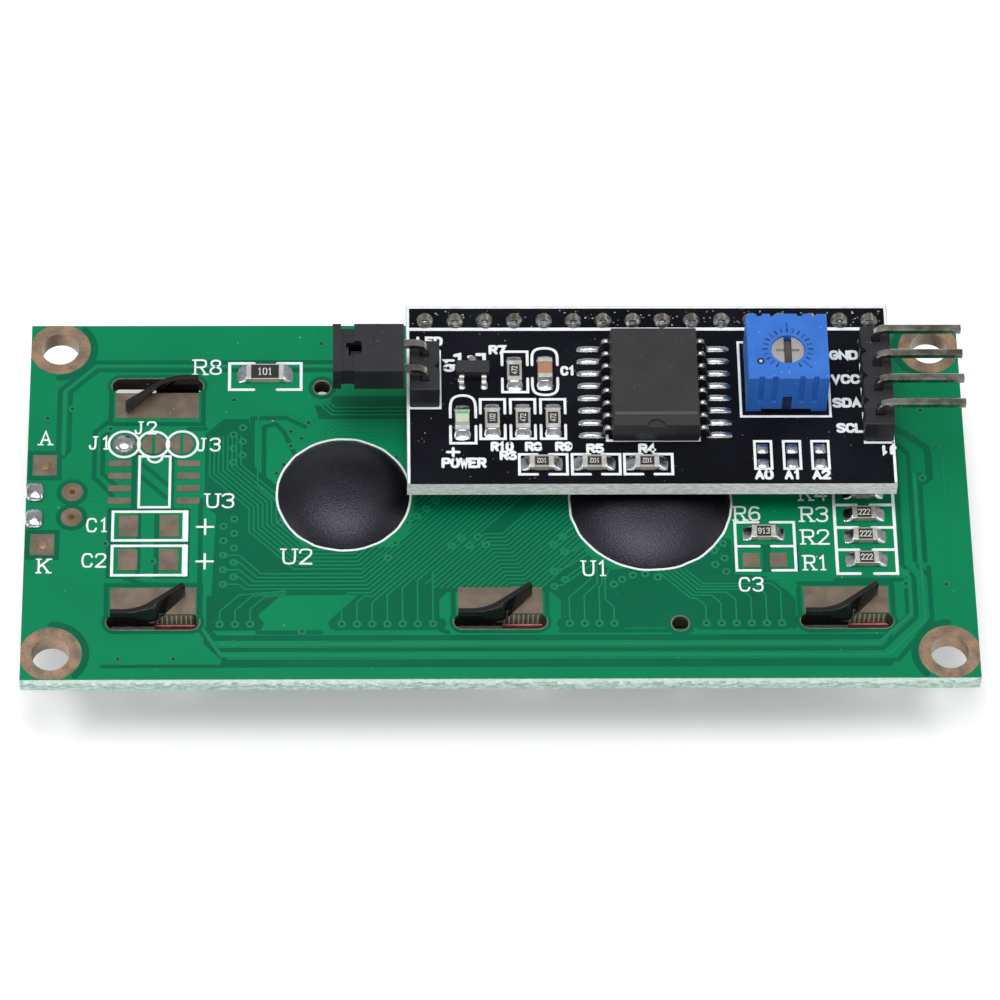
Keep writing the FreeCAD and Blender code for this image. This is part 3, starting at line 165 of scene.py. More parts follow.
def penFor(shape, usual, level, rise=0.02):  # draws on one shape at one level
    def draw(path, width=usual, closed=False):
        (loopLine if closed else line)(shape, path, width, level, rise)
    return draw


def field(shape, corners, level, rise=0.01):  # flat area with a low edge
    turns = sum(corners[i - 1][0] * corners[i][1] - corners[i][0] * corners[i - 1][1]
                for i in range(len(corners)))
    corners = corners if turns > 0 else corners[::-1]
    count = len(corners)
    rise += shape.lift()
    points = [(x, y, level + rise) for x, y in corners] + [(x, y, level) for x, y in corners]
    shape.add(points, [list(range(count))] + flipped(ringFaces(1, count)))


def arcPath(x, y, radius, start=0, sweep=360, steps=32):
    turns = [math.radians(start + sweep * i / steps) for i in range(steps + (sweep < 360))]
    return [(x + radius * math.cos(turn), y + radius * math.sin(turn)) for turn in turns]


def disc(shape, x, y, radius, level, rise=0.02, steps=24):
    field(shape, arcPath(x, y, radius, steps=steps), level, rise)


def ring(shape, x, y, outer, inner, level, rise=0.02, steps=24):
    loopLine(shape, arcPath(x, y, (outer + inner) / 2, steps=steps), outer - inner, level, rise)


def rectanglePath(left, low, right, high):
    return [(left, low), (right, low), (right, high), (left, high)]


def boxPath(x, y, halfX, halfY):  # rectangle about a middle
    return rectanglePath(x - halfX, y - halfY, x + halfX, y + halfY)


def cupPath(left, right, rim, foot):  # three sides of a box, open at the rim
    return [(left, rim), (left, foot), (right, foot), (right, rim)]


def claspPath(end, back, high, low):  # three sides of a box, open at one end
    return [(end, high), (back, high), (back, low), (end, low)]


def rounded(path, rounds=2):  # cuts the corners of a path, twice for a smooth bend
    for _ in range(rounds):
        cut = [path[0]]
        for start, end in zip(path, path[1:]):
            cut += [tuple(a * 0.75 + b * 0.25 for a, b in zip(start, end)),
                    tuple(a * 0.25 + b * 0.75 for a, b in zip(start, end))]
        path = cut[:1] + cut[2:-1] + [path[-1]]
    return path


def turned(shape, profile, x, y, steps=24, wobble=0.0, seed=0.0):  # lathe of (radius, height) points
    points = []
    for radius, height in profile:
        for i in range(steps):
            turn = 2 * math.pi * i / steps
            c, s = math.cos(turn), math.sin(turn)
            ripple = 1 + wobble * noise.noise(Vector((c * 1.5 + seed, s * 1.5, seed)))
            points.append((x + radius * ripple * c, y + radius * ripple * s, height))
    faces = ringFaces(len(profile) - 1, steps)
    faces.append([(len(profile) - 1) * steps + i for i in range(steps)])
    if profile[-1][1] < profile[0][1]:
        faces = [face[::-1] for face in faces]
    shape.add(points, faces)


def mound(shape, x, y, level, length, width, height, power=2.6, steps=10):
    # smooth drop on a pad: round in plan, full in section
    points = []
    around = 4 * steps
    for r in range(steps + 1):
        share = math.sin(math.pi / 2 * r / steps)
        rise = height * math.sqrt(max(0.0, 1 - share ** 2.4))
        for i in range(around):
            angle = 2 * math.pi * i / around
            cx, cy = math.cos(angle), math.sin(angle)
            stretch = 1 / (abs(cx) ** power + abs(cy) ** power) ** (1 / power)
            points.append((x + cx * stretch * length / 2 * share, y + cy * stretch * width / 2 * share,
                           level + rise))
    faces = flipped(ringFaces(steps, around))
    faces.append([steps * around + i for i in range(around)][::-1])
    shape.add(points, faces)


def fillet(shape, x, y, level, out, width, reach, height, turn):
    # solder that climbs the end of a chip: hollow towards the pad, a little proud at the sides
    points = []
    rows, columns = 8, 8
    for r in range(rows + 1):
        away = r / rows
        rise = height * (1 - away) ** 1.9 + 0.05 * math.sin(math.pi * away)
        half = width / 2 + 0.1 * math.sin(math.pi * min(1.0, away * 1.1))
        for k in range(columns + 1):
            across = -1 + 2 * k / columns
            droop = 1 - 0.35 * abs(across) ** 4
            bow = reach * away * (1 - 0.12 * across * across)
            points.append((*turnedSpot(x, y, turn, out + bow, half * across), level + rise * droop))
    across = columns + 1
    faces = [[r * across + k, (r + 1) * across + k, (r + 1) * across + k + 1, r * across + k + 1]
             for r in range(rows) for k in range(columns)]
    base = len(points)
    border = ([k for k in range(across)] + [r * across + columns for r in range(1, rows + 1)]
              + [rows * across + k for k in range(columns - 1, -1, -1)]
              + [r * across for r in range(rows - 1, 0, -1)])
    points += [(points[i][0], points[i][1], level) for i in border]
    count = len(border)
    faces += [[border[i], border[(i + 1) % count], base + (i + 1) % count, base + i] for i in range(count)]
    faces.append([base + i for i in range(count)])
    shape.add(points, faces)


def strip(shape, path, width, thickness, place):
    # bent strip along a path of (run, height); place turns (run, across, height) to x, y, z
    cut = min(width, thickness) * 0.14
    half = width / 2
    points = []
    for (ax, az), (bx, bz) in zip(sideways(path, thickness / 2), sideways(path, -thickness / 2)):
        dx, dz = unit(bx - ax, bz - az)
        section = [(ax, half - cut, az), (ax + dx * cut, half, az + dz * cut),
                   (bx - dx * cut, half, bz - dz * cut), (bx, half - cut, bz),
                   (bx, cut - half, bz), (bx - dx * cut, -half, bz - dz * cut),
                   (ax + dx * cut, -half, az + dz * cut), (ax, cut - half, az)]
        points += [place(*point) for point in section]
    last = (len(path) - 1) * 8
    shape.add(points, ringFaces(len(path) - 1, 8) + [list(range(8))[::-1], list(range(last, last + 8))])


def tidyNormals(piece):  # faces all point outwards
    work = bmesh.new()
    work.from_mesh(piece.data)
    bmesh.ops.recalc_face_normals(work, faces=work.faces)
    work.to_mesh(piece.data)
    work.free()


# shader effects that the finishes share
def tone(red, green, blue):  # a screen colour, 0 to 255, as the shader takes it
    def straight(value):
        value /= 255
        return value / 12.92 if value <= 0.04045 else ((value + 0.055) / 1.055) ** 2.4
    return straight(red), straight(green), straight(blue), 1.0


def newGroup(name, inputs, outputs):  # colour sockets for colours, number sockets for the rest
    group = bpy.data.node_groups.new(name, "ShaderNodeTree")
    for label, value in inputs.items():
        kind = "NodeSocketFloat" if isinstance(value, float) else "NodeSocketColor"
        group.interface.new_socket(label, in_out="INPUT", socket_type=kind).default_value = value
    for label in outputs:
        kind = "NodeSocketColor" if label == "Color" else "NodeSocketFloat"
        group.interface.new_socket(label, in_out="OUTPUT", socket_type=kind)
    return group, group.nodes.new("NodeGroupInput").outputs, group.nodes.new("NodeGroupOutput").inputs


def addNode(tree, kind, sockets=(), **settings):  # a socket takes a value or a link
    node = tree.nodes.new(kind)
    for name, value in settings.items():
        setattr(node, name, value)
    for socket, source in sockets:
        if hasattr(source, "is_output"):
            tree.links.new(source, node.inputs[socket])
        else:
            node.inputs[socket].default_value = source
    return node


def maths(tree, operation, *sources):
    return addNode(tree, "ShaderNodeMath", enumerate(sources), operation=operation).outputs[0]


def vectorMaths(tree, operation, *sources):
    return addNode(tree, "ShaderNodeVectorMath", enumerate(sources), operation=operation).outputs


def objectPlace(tree, stretch=(1, 1, 1)):  # place on the piece, in mm
    place = addNode(tree, "ShaderNodeTexCoord")
    return vectorMaths(tree, "MULTIPLY", place.outputs["Object"], [v / mm for v in stretch])[0]


def objectNoise(tree, scale, detail=4.0, stretch=(1, 1, 1), roughness=0.5):  # scale is in turns per mm
    return addNode(tree, "ShaderNodeTexNoise", [("Vector", objectPlace(tree, stretch)), ("Scale", scale),
                                                ("Detail", detail), ("Roughness", roughness)]).outputs[0]


def remap(tree, value, low, high, newLow=0.0, newHigh=1.0):
    labels = ("Value", "From Min", "From Max", "To Min", "To Max")
    return addNode(tree, "ShaderNodeMapRange", zip(labels, (value, low, high, newLow, newHigh))).outputs[0]


def blendColour(tree, share, first, second):
    return addNode(tree, "ShaderNodeMix", ((0, share), (6, first), (7, second)), data_type="RGBA").outputs[2]


def makeGrain():  # fine grain: an uneven gloss and a height for the bump
    tree, given, out = newGroup("fineGrain", {"Scale": 4.0, "Low": 0.3, "High": 0.5}, ("Roughness", "Height"))
    pattern = objectNoise(tree, given["Scale"], 5.0)
    tree.links.new(remap(tree, pattern, 0.3, 0.7, given["Low"], given["High"]), out["Roughness"])
    tree.links.new(pattern, out["Height"])
    return tree


def makeMottle():  # slow change from one colour to another
    tree, given, out = newGroup("slowMottle", {"First": (1, 1, 1, 1), "Second": (0, 0, 0, 1), "Scale": 0.2},
                                ("Color",))
    share = remap(tree, objectNoise(tree, given["Scale"], 3.0), 0.35, 0.65)
    tree.links.new(blendColour(tree, share, given["First"], given["Second"]), out["Color"])
    return tree


def makeDust():  # sparse pale specks that have settled on a surface
    tree, given, out = newGroup("settledDust", {"Color": (1, 1, 1, 1), "Dust": (0.6, 0.6, 0.6, 1),
                                                "Size": 0.09, "Scale": 1.2}, ("Color", "Mask"))
    cells = addNode(tree, "ShaderNodeTexVoronoi", [("Vector", objectPlace(tree)), ("Scale", given["Scale"])])
    near = maths(tree, "LESS_THAN", cells.outputs["Distance"], given["Size"])
    some = remap(tree, objectNoise(tree, 0.35, 3.0), 0.5, 0.62)
    mask = maths(tree, "MULTIPLY", near, some)
    tree.links.new(blendColour(tree, mask, given["Color"], given["Dust"]), out["Color"])
    tree.links.new(mask, out["Mask"])
    return tree


def makeEdgeWearAndHighlight():  # paler or barer edges, broken up by noise: real wear, and a painted highlight along edges, as on the bezel
    tree, given, out = newGroup("edgeWearAndHighlight", {"Color": (0, 0, 0, 1), "Worn": (0.4, 0.4, 0.4, 1),
                                             "Width": 0.00008, "Amount": 0.5}, ("Color", "Mask"))
    soft = addNode(tree, "ShaderNodeBevel", [("Radius", given["Width"])], samples=4)
    plain = addNode(tree, "ShaderNodeNewGeometry")
    same = vectorMaths(tree, "DOT_PRODUCT", soft.outputs[0], plain.outputs["Normal"])["Value"]
    edge = remap(tree, same, 0.97, 0.8)
    broken = remap(tree, objectNoise(tree, 2.5, 5.0), 0.4, 0.6)
    mask = maths(tree, "MULTIPLY", maths(tree, "MULTIPLY", edge, broken), given["Amount"])
    tree.links.new(blendColour(tree, mask, given["Color"], given["Worn"]), out["Color"])
    tree.links.new(mask, out["Mask"])
    return tree


def makeFibre():  # cut edge of a glass-fibre board: pale layers, ragged and streaked along the edge
    tree, given, out = newGroup("cutFibre", {"Resin": (0.5, 0.5, 0.4, 1), "Glass": (0.8, 0.8, 0.8, 1)},
                                ("Color", "Height"))
    streaks = objectNoise(tree, 2.2, 6.0, (0.8, 0.8, 2.6), 0.7)
    share = remap(tree, streaks, 0.4, 0.6)
    specks = objectNoise(tree, 3.5, 4.0, (1, 1, 1.6), 0.7)
    dark = remap(tree, specks, 0.38, 0.26, 0, 0.7)
    layered = blendColour(tree, share, given["Resin"], given["Glass"])
    tree.links.new(blendColour(tree, dark, layered, (0.12, 0.13, 0.11, 1)), out["Color"])
    tree.links.new(streaks, out["Height"])
    return tree


grainGroup, mottleGroup, dustGroup = makeGrain(), makeMottle(), makeDust()
edgeWearHighlightGroup, fibreGroup = makeEdgeWearAndHighlight(), makeFibre()


def groupNode(tree, group, **values):
    return addNode(tree, "ShaderNodeGroup", values.items(), node_tree=group).outputs


def outerShare(tree, box):  # one on the outer edge of a board, none in its holes
    spot = addNode(tree, "ShaderNodeNewGeometry").outputs["Position"]
    away = vectorMaths(tree, "SUBTRACT", spot, (box[0] + box[1]) / 2)[0]
    size = vectorMaths(tree, "ABSOLUTE", away)[0]
    past = vectorMaths(tree, "SUBTRACT", size, (box[1] - box[0]) / 2)[0]
    parts = addNode(tree, "ShaderNodeSeparateXYZ", [(0, past)]).outputs
    return maths(tree, "GREATER_THAN", maths(tree, "MAXIMUM", parts["X"], parts["Y"]), -0.1 * mm)


def newFinish(name, colour, second, low, high, grain, bump, metal, mottle=0.3, extras=()):
    # one material: mottled colour, optional fibre sides with painted shade on the walls of holes, dust, worn
    # edges with a painted edge highlight, grain in gloss and bump
    extras = dict(extras)
    dust, worn, fibre = extras.pop("dust", None), extras.pop("worn", None), extras.pop("fibre", None)
    finish = bpy.data.materials.new(name)
    finish.use_nodes = True
    tree = finish.node_tree
    shader = tree.nodes["Principled BSDF"]
    tint = groupNode(tree, mottleGroup, First=tone(*colour), Second=tone(*(second or colour)),
                     Scale=mottle)["Color"]
    if dust:
        tint = groupNode(tree, dustGroup, Color=tint, Dust=tone(*dust[0]), Size=dust[1],
                         Scale=dust[2])["Color"]
    if worn:
        tint = groupNode(tree, edgeWearHighlightGroup, Color=tint, Worn=tone(*worn[0]), Width=worn[1] * mm,
                         Amount=worn[2])["Color"]
    surface = groupNode(tree, grainGroup, Scale=grain, Low=low, High=high)
    height, gloss = surface["Height"], surface["Roughness"]
    if fibre:
        board, resin, glass, inner = fibre
        sides = groupNode(tree, fibreGroup, Resin=tone(*resin), Glass=tone(*glass))
        place = addNode(tree, "ShaderNodeTexCoord")
        parts = addNode(tree, "ShaderNodeSeparateXYZ", [(0, place.outputs["Normal"])])
        side = maths(tree, "LESS_THAN", maths(tree, "ABSOLUTE", parts.outputs["Z"]), 0.5)
        # the walls of holes and slots take the dark inner colour, a painted shade for walls in shadow; the
        # outer edge shows the cut fibre
        wall = blendColour(tree, outerShare(tree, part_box(board)), tone(*inner), sides["Color"])
        tint = blendColour(tree, side, tint, wall)
        gloss = remap(tree, side, 0, 1, (low + high) / 2, 0.85)
        height = maths(tree, "MULTIPLY", sides["Height"], side)
    tree.links.new(tint, shader.inputs["Base Color"])
    tree.links.new(gloss, shader.inputs["Roughness"])
    if bump:
        relief = addNode(tree, "ShaderNodeBump", [("Height", height), ("Strength", bump),
                                                  ("Distance", (0.3 if fibre else 0.1) * mm)])
        tree.links.new(relief.outputs[0], shader.inputs["Normal"])
    shader.inputs["Metallic"].default_value = metal
    for label, value in extras.items():
        shader.inputs[label].default_value = value


finishes = {
    # two screen colours, lowest and highest roughness, grain per mm, bump, metal, mottle per mm, and the
    # dust, worn edges with a painted highlight, fibre sides with painted shade on the walls of holes, or
    # shader sockets that only some have
    "greenMask": ((3, 128, 82), (1, 119, 76), 0.3, 0.42, 5.0, 0.06, 0.0, 0.06,
                  {"dust": ((150, 190, 165), 0.05, 0.5), "Specular IOR Level": 0.12,
                   "fibre": ("main_board", (142, 176, 158), (214, 234, 224), (70, 66, 54))}),
    "darkMask": ((0, 90, 62), (0, 97, 67), 0.3, 0.42, 5.0, 0.06, 0.0, 0.1, {"Specular IOR Level": 0.12}),
    "traceMask": ((14, 124, 83), None, 0.28, 0.4, 5.0, 0.05, 0.0, 0.3, {"Specular IOR Level": 0.16}),
    "blackMask": ((12, 13, 18), (22, 23, 30), 0.3, 0.45, 5.0, 0.07, 0.0, 0.12,
                  {"dust": ((140, 140, 146), 0.07, 1.1), "Specular IOR Level": 0.05,
                   "fibre": ("adapter_board", (214, 212, 208), (250, 249, 247), (60, 56, 48))}),
    "silkInk": ((238, 243, 243), (222, 228, 230), 0.5, 0.65, 8.0, 0.1, 0.0, 1.2),
    "bareCopper": ((126, 111, 96), (106, 93, 80), 0.3, 0.45, 7.0, 0.1, 0.35, 0.7,
                   {"dust": ((200, 188, 170), 0.07, 1.4)}),
    "ringCopper": ((172, 140, 112), (126, 111, 96), 0.25, 0.4, 6.0, 0.08, 0.55, 0.8),
    "softSolder": ((205, 207, 210), (168, 170, 174), 0.12, 0.3, 2.2, 0.3, 1.0, 1.6),
    "tinnedPin": ((172, 168, 158), (116, 110, 100), 0.12, 0.28, 3.0, 0.05, 1.0, 0.8,
                  {"worn": ((222, 216, 204), 0.06, 0.5)}),
    # black enamel: its pale worn edges are a painted highlight along the edges of the bezel and its tabs
    "blackEnamel": ((16, 15, 16), (24, 23, 24), 0.08, 0.16, 3.0, 0.05, 0.0, 0.4,
                    {"worn": ((150, 142, 134), 0.05, 0.5), "Coat Weight": 0.1, "Specular IOR Level": 0.45}),
    "glossResin": ((15, 14, 21), (11, 11, 16), 0.3, 0.4, 7.0, 0.4, 0.0, 0.7,
                   {"dust": ((80, 78, 92), 0.12, 4.2), "Specular IOR Level": 0.42,
                    "Specular Tint": (0.86, 0.84, 1.0, 1.0)}),
    "chipBlack": ((42, 39, 41), (36, 34, 36), 0.42, 0.6, 9.0, 0.18, 0.0, 0.5,
                  {"dust": ((110, 106, 106), 0.09, 2.2), "Specular IOR Level": 0.4}),
    "headerBlack": ((34, 34, 40), (27, 27, 32), 0.38, 0.58, 6.0, 0.16, 0.0, 0.5,
                    {"dust": ((110, 110, 120), 0.1, 1.8), "worn": ((86, 86, 96), 0.1, 0.5),
                     "Specular IOR Level": 0.4}),
    "chipCeramic": ((176, 170, 160), (150, 146, 138), 0.4, 0.55, 8.0, 0.1, 0.0),
    "chipGlaze": ((36, 34, 34), (44, 42, 42), 0.22, 0.36, 8.0, 0.08, 0.0),
    "leadTin": ((206, 205, 202), (176, 174, 170), 0.16, 0.32, 4.0, 0.14, 1.0, 1.5),
    "slotWall": ((128, 128, 104), (92, 90, 72), 0.6, 0.8, 5.0, 0.2, 0.0, 1.2),
    "dullSolder": ((160, 158, 154), (96, 94, 92), 0.2, 0.45, 4.5, 0.5, 1.0, 2.4),
    "endTin": ((216, 214, 210), (186, 183, 178), 0.32, 0.5, 6.0, 0.12, 0.85, 1.5),
    "flux": ((176, 176, 180), (130, 130, 134), 0.5, 0.8, 6.0, 0.2, 0.0, 2.0),
    "clipSteelAndPinShade": ((112, 108, 104), (84, 82, 80), 0.3, 0.45, 5.0, 0.1, 1.0),
    "tanCeramic": ((160, 118, 94), (166, 116, 88), 0.35, 0.5, 7.0, 0.12, 0.0, 1.5),
    "lampLens": ((232, 234, 226), (214, 222, 196), 0.15, 0.3, 6.0, 0.08, 0.0, 0.3,
                 {"Transmission Weight": 0.25, "Coat Weight": 0.3}),
    "blueMoulding": ((30, 98, 190), (36, 108, 198), 0.4, 0.6, 7.0, 0.2, 0.0, 0.5,
                     {"dust": ((120, 180, 230), 0.1, 2.0), "worn": ((90, 160, 226), 0.12, 0.6)}),
    "rotorNickel": ((196, 192, 188), (170, 166, 164), 0.28, 0.45, 9.0, 0.12, 0.9),
    "markWhite": ((206, 204, 200), None, 0.5, 0.6, 9.0, 0.1, 0.0),
    "stripedRubber": ((240, 150, 152), (214, 112, 118), 0.5, 0.7, 6.0, 0.1, 0.0, 1.4),
    "trayWhite": ((228, 230, 226), (216, 218, 212), 0.35, 0.5, 6.0, 0.08, 0.0, 0.4),
    "guideClear": ((226, 232, 236), None, 0.08, 0.16, 5.0, 0.02, 0.0, 0.3, {"Transmission Weight": 0.6}),
    "milkFilm": ((236, 236, 234), None, 0.5, 0.62, 6.0, 0.04, 0.0),
    "screenBlue": ((26, 62, 190), (20, 52, 172), 0.2, 0.3, 4.0, 0.03, 0.0, 0.1, {"Coat Weight": 0.8}),
    "cellBlue": ((40, 84, 206), None, 0.25, 0.35, 4.0, 0.03, 0.0),
    "clearGlass": ((222, 232, 228), None, 0.03, 0.06, 2.0, 0.0, 0.0, 0.3, {"Transmission Weight": 0.85}),
    "springBronze": ((206, 178, 128), (176, 148, 104), 0.25, 0.4, 6.0, 0.1, 0.9),
    "trackCeramic": ((226, 226, 216), None, 0.4, 0.55, 6.0, 0.08, 0.0),
    "darkHole": ((22, 34, 28), None, 0.6, 0.8, 6.0, 0.05, 0.0),
    "padMark": ((112, 84, 62), (150, 122, 98), 0.3, 0.5, 6.0, 0.2, 0.4),
    "stripeGrey": ((84, 78, 72), (70, 66, 62), 0.35, 0.5, 9.0, 0.1, 0.0),
    "gateBlue": ((10, 34, 78), None, 0.5, 0.7, 7.0, 0.1, 0.0),
    "dialBlue": ((12, 50, 106), None, 0.5, 0.7, 7.0, 0.1, 0.0),
    "dialBlack": ((14, 18, 26), None, 0.5, 0.7, 7.0, 0.1, 0.0),
    "paintedSlotShade": ((66, 58, 52), (92, 84, 78), 0.4, 0.6, 6.0, 0.2, 0.0),
    "lensGreen": ((92, 178, 128), None, 0.2, 0.4, 6.0, 0.1, 0.0),
    "throatGold": ((160, 122, 74), (124, 92, 56), 0.3, 0.5, 6.0, 0.2, 0.6),
    "throatDark": ((62, 44, 26), None, 0.5, 0.7, 6.0, 0.1, 0.0),
    "paleTopBand": ((232, 246, 240), (206, 228, 218), 0.6, 0.8, 6.0, 0.3, 0.0, 2.4),
    "cutterMark": ((206, 206, 176), None, 0.5, 0.7, 5.0, 0.1, 0.0),
}
for name, values in finishes.items():
    newFinish(name, *values)

nodeFinishes = {
    "greenMask": ["main_board"], "blackMask": ["adapter_board"],
    "bareCopper": ["tab_pads", "bare_pads", "fixing_pads"], "blackEnamel": ["bezel"],
    "screenBlue": ["front_polariser", "rear_polariser"], "clearGlass": ["front_glass", "rear_glass"],
    "milkFilm": ["diffuser_film"], "stripedRubber": ["zebra_strip_near", "zebra_strip_far"],
    "trayWhite": ["backlight_tray"], "guideClear": ["light_guide"],
    "lampLens": ["backlight_lamps", "power_lamp"],
    "glossResin": ["left_resin", "right_resin"], "chipCeramic": ["board_resistors", "adapter_resistors"],
    "endTin": ["board_resistors_ends", "adapter_resistors_ends", "supply_capacitor_ends", "power_lamp_ends"],
    "softSolder": ["board_solder", "adapter_solder", "expander_solder", "land_solder", "address_pads",
                   "header_solder_front", "header_solder_rear", "connector_solder"],
    "headerBlack": ["header_strip", "bus_header_block", "jumper_header_block", "jumper_cap"],
    "tinnedPin": ["header_pins", "bus_header_pins", "jumper_header_pins", "expander_leads",
                  "transistor_leads", "backlight_leads"],
    "chipBlack": ["expander_body", "transistor_body"], "tanCeramic": ["supply_capacitor"],
    "blueMoulding": ["trimmer_housing"], "rotorNickel": ["trimmer_rotor"],
    "trackCeramic": ["trimmer_element"], "springBronze": ["trimmer_wiper"],
    # the jumper clip has its own steel colour; the trimmer pins take it as painted shade, since they sit in
    # the housing's shadow
    "clipSteelAndPinShade": ["jumper_clip", "trimmer_pins"],
}
for finish, names in nodeFinishes.items():
    for name in names:
        nodes[name].data.materials.clear()
        nodes[name].data.materials.append(bpy.data.materials[finish])
print("finishes made:", len(bpy.data.materials))


# green board: copper pattern under the mask
artwork = {"traceWidth": 0.118, "wideTrace": 0.3, "pitch": 0.38, "gap": 0.38, "holeGap": 0.98,
           "viaOuter": 0.36, "viaInner": 0.16, "viaBand": 1.25, "nearVias": -12.58}
levels = {"gap": boardTop + 0.006, "trace": boardTop + 0.014, "via": boardTop + 0.016}
boardPlaces = {"fixings": [(x, y) for x in (-37.5, 37.5) for y in (-15.5, 15.5)],
               "tooling": [(-14.95, 11.45), (15.05, -12.6)], "rings": [(-36.1, 0.72), (-36.1, -1.83)],
               "slots": (-29.05, 0.0, 29.05)}
slotGap = {"half": 3.13, "radius": 0.97, "rimHalf": 3.15, "rimRadius": 0.79, "rimWidth": 0.07, "side": 3.95}
darkArea, lightTrace, viaRing, viaHole, rims = Shape(), Shape(), Shape(), Shape(), Shape()
gapLine = penFor(darkArea, artwork["gap"], levels["gap"], 0.008)
traceLine = penFor(lightTrace, artwork["traceWidth"], levels["trace"], 0.018)

# dark fields, where the copper is etched away round the trace bundles
for corners in (
        [(-24.9, 6.7), (-23.3, 8.2), (-21.2, 8.2), (-20.9, 3.6), (-18.9, 1.0), (-18.2, -2.0), (-16.6, -4.9),
         (-9.0, -4.9), (-7.6, -3.6), (-6.9, 0.5), (-6.9, 8.2), (-15.2, 8.2), (-15.6, 9.6), (6.0, 9.6),
         (7.0, 7.0), (6.9, -1.0), (7.2, -3.2), (7.2, -5.0), (4.3, -8.2), (4.3, -9.4), (-4.4, -9.4),
         (-5.1, -10.2), (-5.1, -13.1), (-14.1, -13.1), (-14.1, -12.0), (-11.9, -9.7), (-18.4, -9.7),
         (-20.2, -11.6), (-20.2, -13.2), (-24.2, -13.2), (-24.2, -9.9), (-23.9, -1.6), (-24.9, -0.6)],
        [(4.3, -8.2), (7.2, -5.0), (7.3, -5.6), (9.4, -7.2), (13.2, -7.0), (18.3, -4.0), (19.6, -4.2),
         (19.7, -7.7), (22.4, -7.9), (24.4, -9.6), (24.4, -12.9), (23.6, -13.2), (16.4, -13.2), (16.4, -11.4),
         (13.2, -8.6), (10.2, -8.9), (10.1, -12.9), (5.1, -12.9), (5.1, -10.2), (4.3, -9.4)],
        [(-14.4, 9.6), (-14.0, 10.6), (-2.0, 10.6), (-2.0, 9.6)],
    [(9.8, -13.0), (14.1, -13.0), (14.1, -11.65), (16.6, -11.65), (16.6, -10.4), (13.6, -8.4), (9.8, -8.4)],
        [(15.95, -13.0), (17.0, -13.0), (17.0, -11.65), (15.95, -11.65)]):
    field(darkArea, corners, boardTop, 0.008)

# gaps round the slots, pads, holes and bands
for x, y, side, reach in (*((x, -12.35, 1, 3.7) for x in boardPlaces["slots"]), (-29.05, 11.65, -1, 3.95)):
    rightEnd = arcPath(x + slotGap["half"], y, slotGap["radius"], side * 35, side * -125, 8)
    leftEnd = arcPath(x - slotGap["half"], y, slotGap["radius"], side * -90, side * -125, 8)
    far = y + side * reach
    gapLine([(x - slotGap["side"], far), (x + slotGap["side"], far)] + rightEnd + leftEnd, closed=True)
    rightRim = arcPath(x + slotGap["rimHalf"], y, slotGap["rimRadius"], side * 20, side * -110, 8)
    leftRim = arcPath(x - slotGap["rimHalf"], y, slotGap["rimRadius"], side * -90, side * -110, 8)
    line(rims, rightRim + leftRim, slotGap["rimWidth"], boardTop)
for left, low, right, high in ((-30.9, -0.95, -27.7, 4.5), (-32.9, -4.3, -30.4, -1.1),
                               (-28.9, -4.3, -26.3, -1.1), (-32.9, -7.8, -30.4, -4.6),
                               (-28.9, -7.8, -26.3, -4.6), (-39.75, 2.15, -37.25, 4.75),
                               (-39.75, -5.9, -37.25, -3.3),
                               (19.9, -7.3, 22.4, -4.9), (22.7, -7.3, 25.1, -4.9)):
    gapLine(rectanglePath(left, low, right, high), closed=True)
for x, y in boardPlaces["fixings"]:
    middle = math.degrees(math.atan2(-y, -x))
    gapLine(arcPath(x, y, 2.95, middle - 68, 136, 20), 0.55)
for x, y in boardPlaces["rings"]:
    gapLine(arcPath(x, y, 1.15, steps=20), 0.35)
for path in (
        [(-9.0, 14.15), (-34.5, 14.15), (-37.4, 11.2), (-37.4, 4.9)],
    [(-9.0, 13.3), (-34.2, 13.3), (-36.5, 11.0), (-36.5, 5.0), (-37.0, 4.4)],
    [(-33.2, 8.0), (-34.3, 6.9), (-34.3, 2.2), (-32.7, 0.4)],
    [(-33.0, 7.0), (-33.6, 6.4), (-33.6, 2.6), (-32.0, 1.0)], [(-30.2, 3.6), (-27.9, 1.3)],
    [(-30.4, 2.4), (-28.2, 0.2)],
        [(-25.2, -0.1), (-25.2, -13.1), (-23.6, -15.1), (-22.9, -15.1), (31.9, -15.1), (34.9, -12.0),
         (34.9, -8.1), (34.0, -6.9), (34.0, 6.2)],
        [(-24.4, -9.9), (-24.4, -13.2), (-23.9, -13.7)], [(32.4, -13.7), (34.2, -11.9), (34.2, -9.4)],
        [(-26.3, 7.2), (-24.9, 7.2)], [(-31.6, -7.9), (-29.8, -8.6), (-28.6, -8.6)],
        [(-20.9, 8.3), (-19.4, 8.3), (-18.0, 8.3), (-16.4, 7.4)], [(-20.9, 8.3), (-20.9, 1.6), (-18.9, -0.4)],
        [(-19.9, 7.4), (-19.9, 2.2), (-18.9, 1.2)], [(-19.9, 7.4), (-18.9, 7.7), (-18.2, 6.9), (-17.2, 4.4)],
        [(-19.4, -9.45), (-12.2, -9.45)], [(-20.3, -13.4), (-15.0, -13.4)], [(-5.0, -13.2), (-4.4, -13.4)],
        [(34.3, 5.4), (35.1, 4.5), (35.1, -6.4)], [(35.95, 2.4), (35.95, -6.4)],
        [(36.2, -7.0), (36.2, -12.2), (33.2, -16.2), (32.6, -16.2)], [(35.3, -6.9), (36.2, -7.9)],
        [(24.6, -13.0), (24.6, -10.2), (23.0, -8.6)], [(28.3, -8.3), (33.9, -8.3)]):
    gapLine(path)
for left, right, y, width in ((-24.4, 32.6, -13.95, 0.5), (-23.0, 32.4, -16.45, 0.75),
                              (-33.2, -23.0, -16.7, 0.3),
                              (5.0, 16.0, -13.3, 0.35)):
    gapLine([(left, y), (right, y)], width)
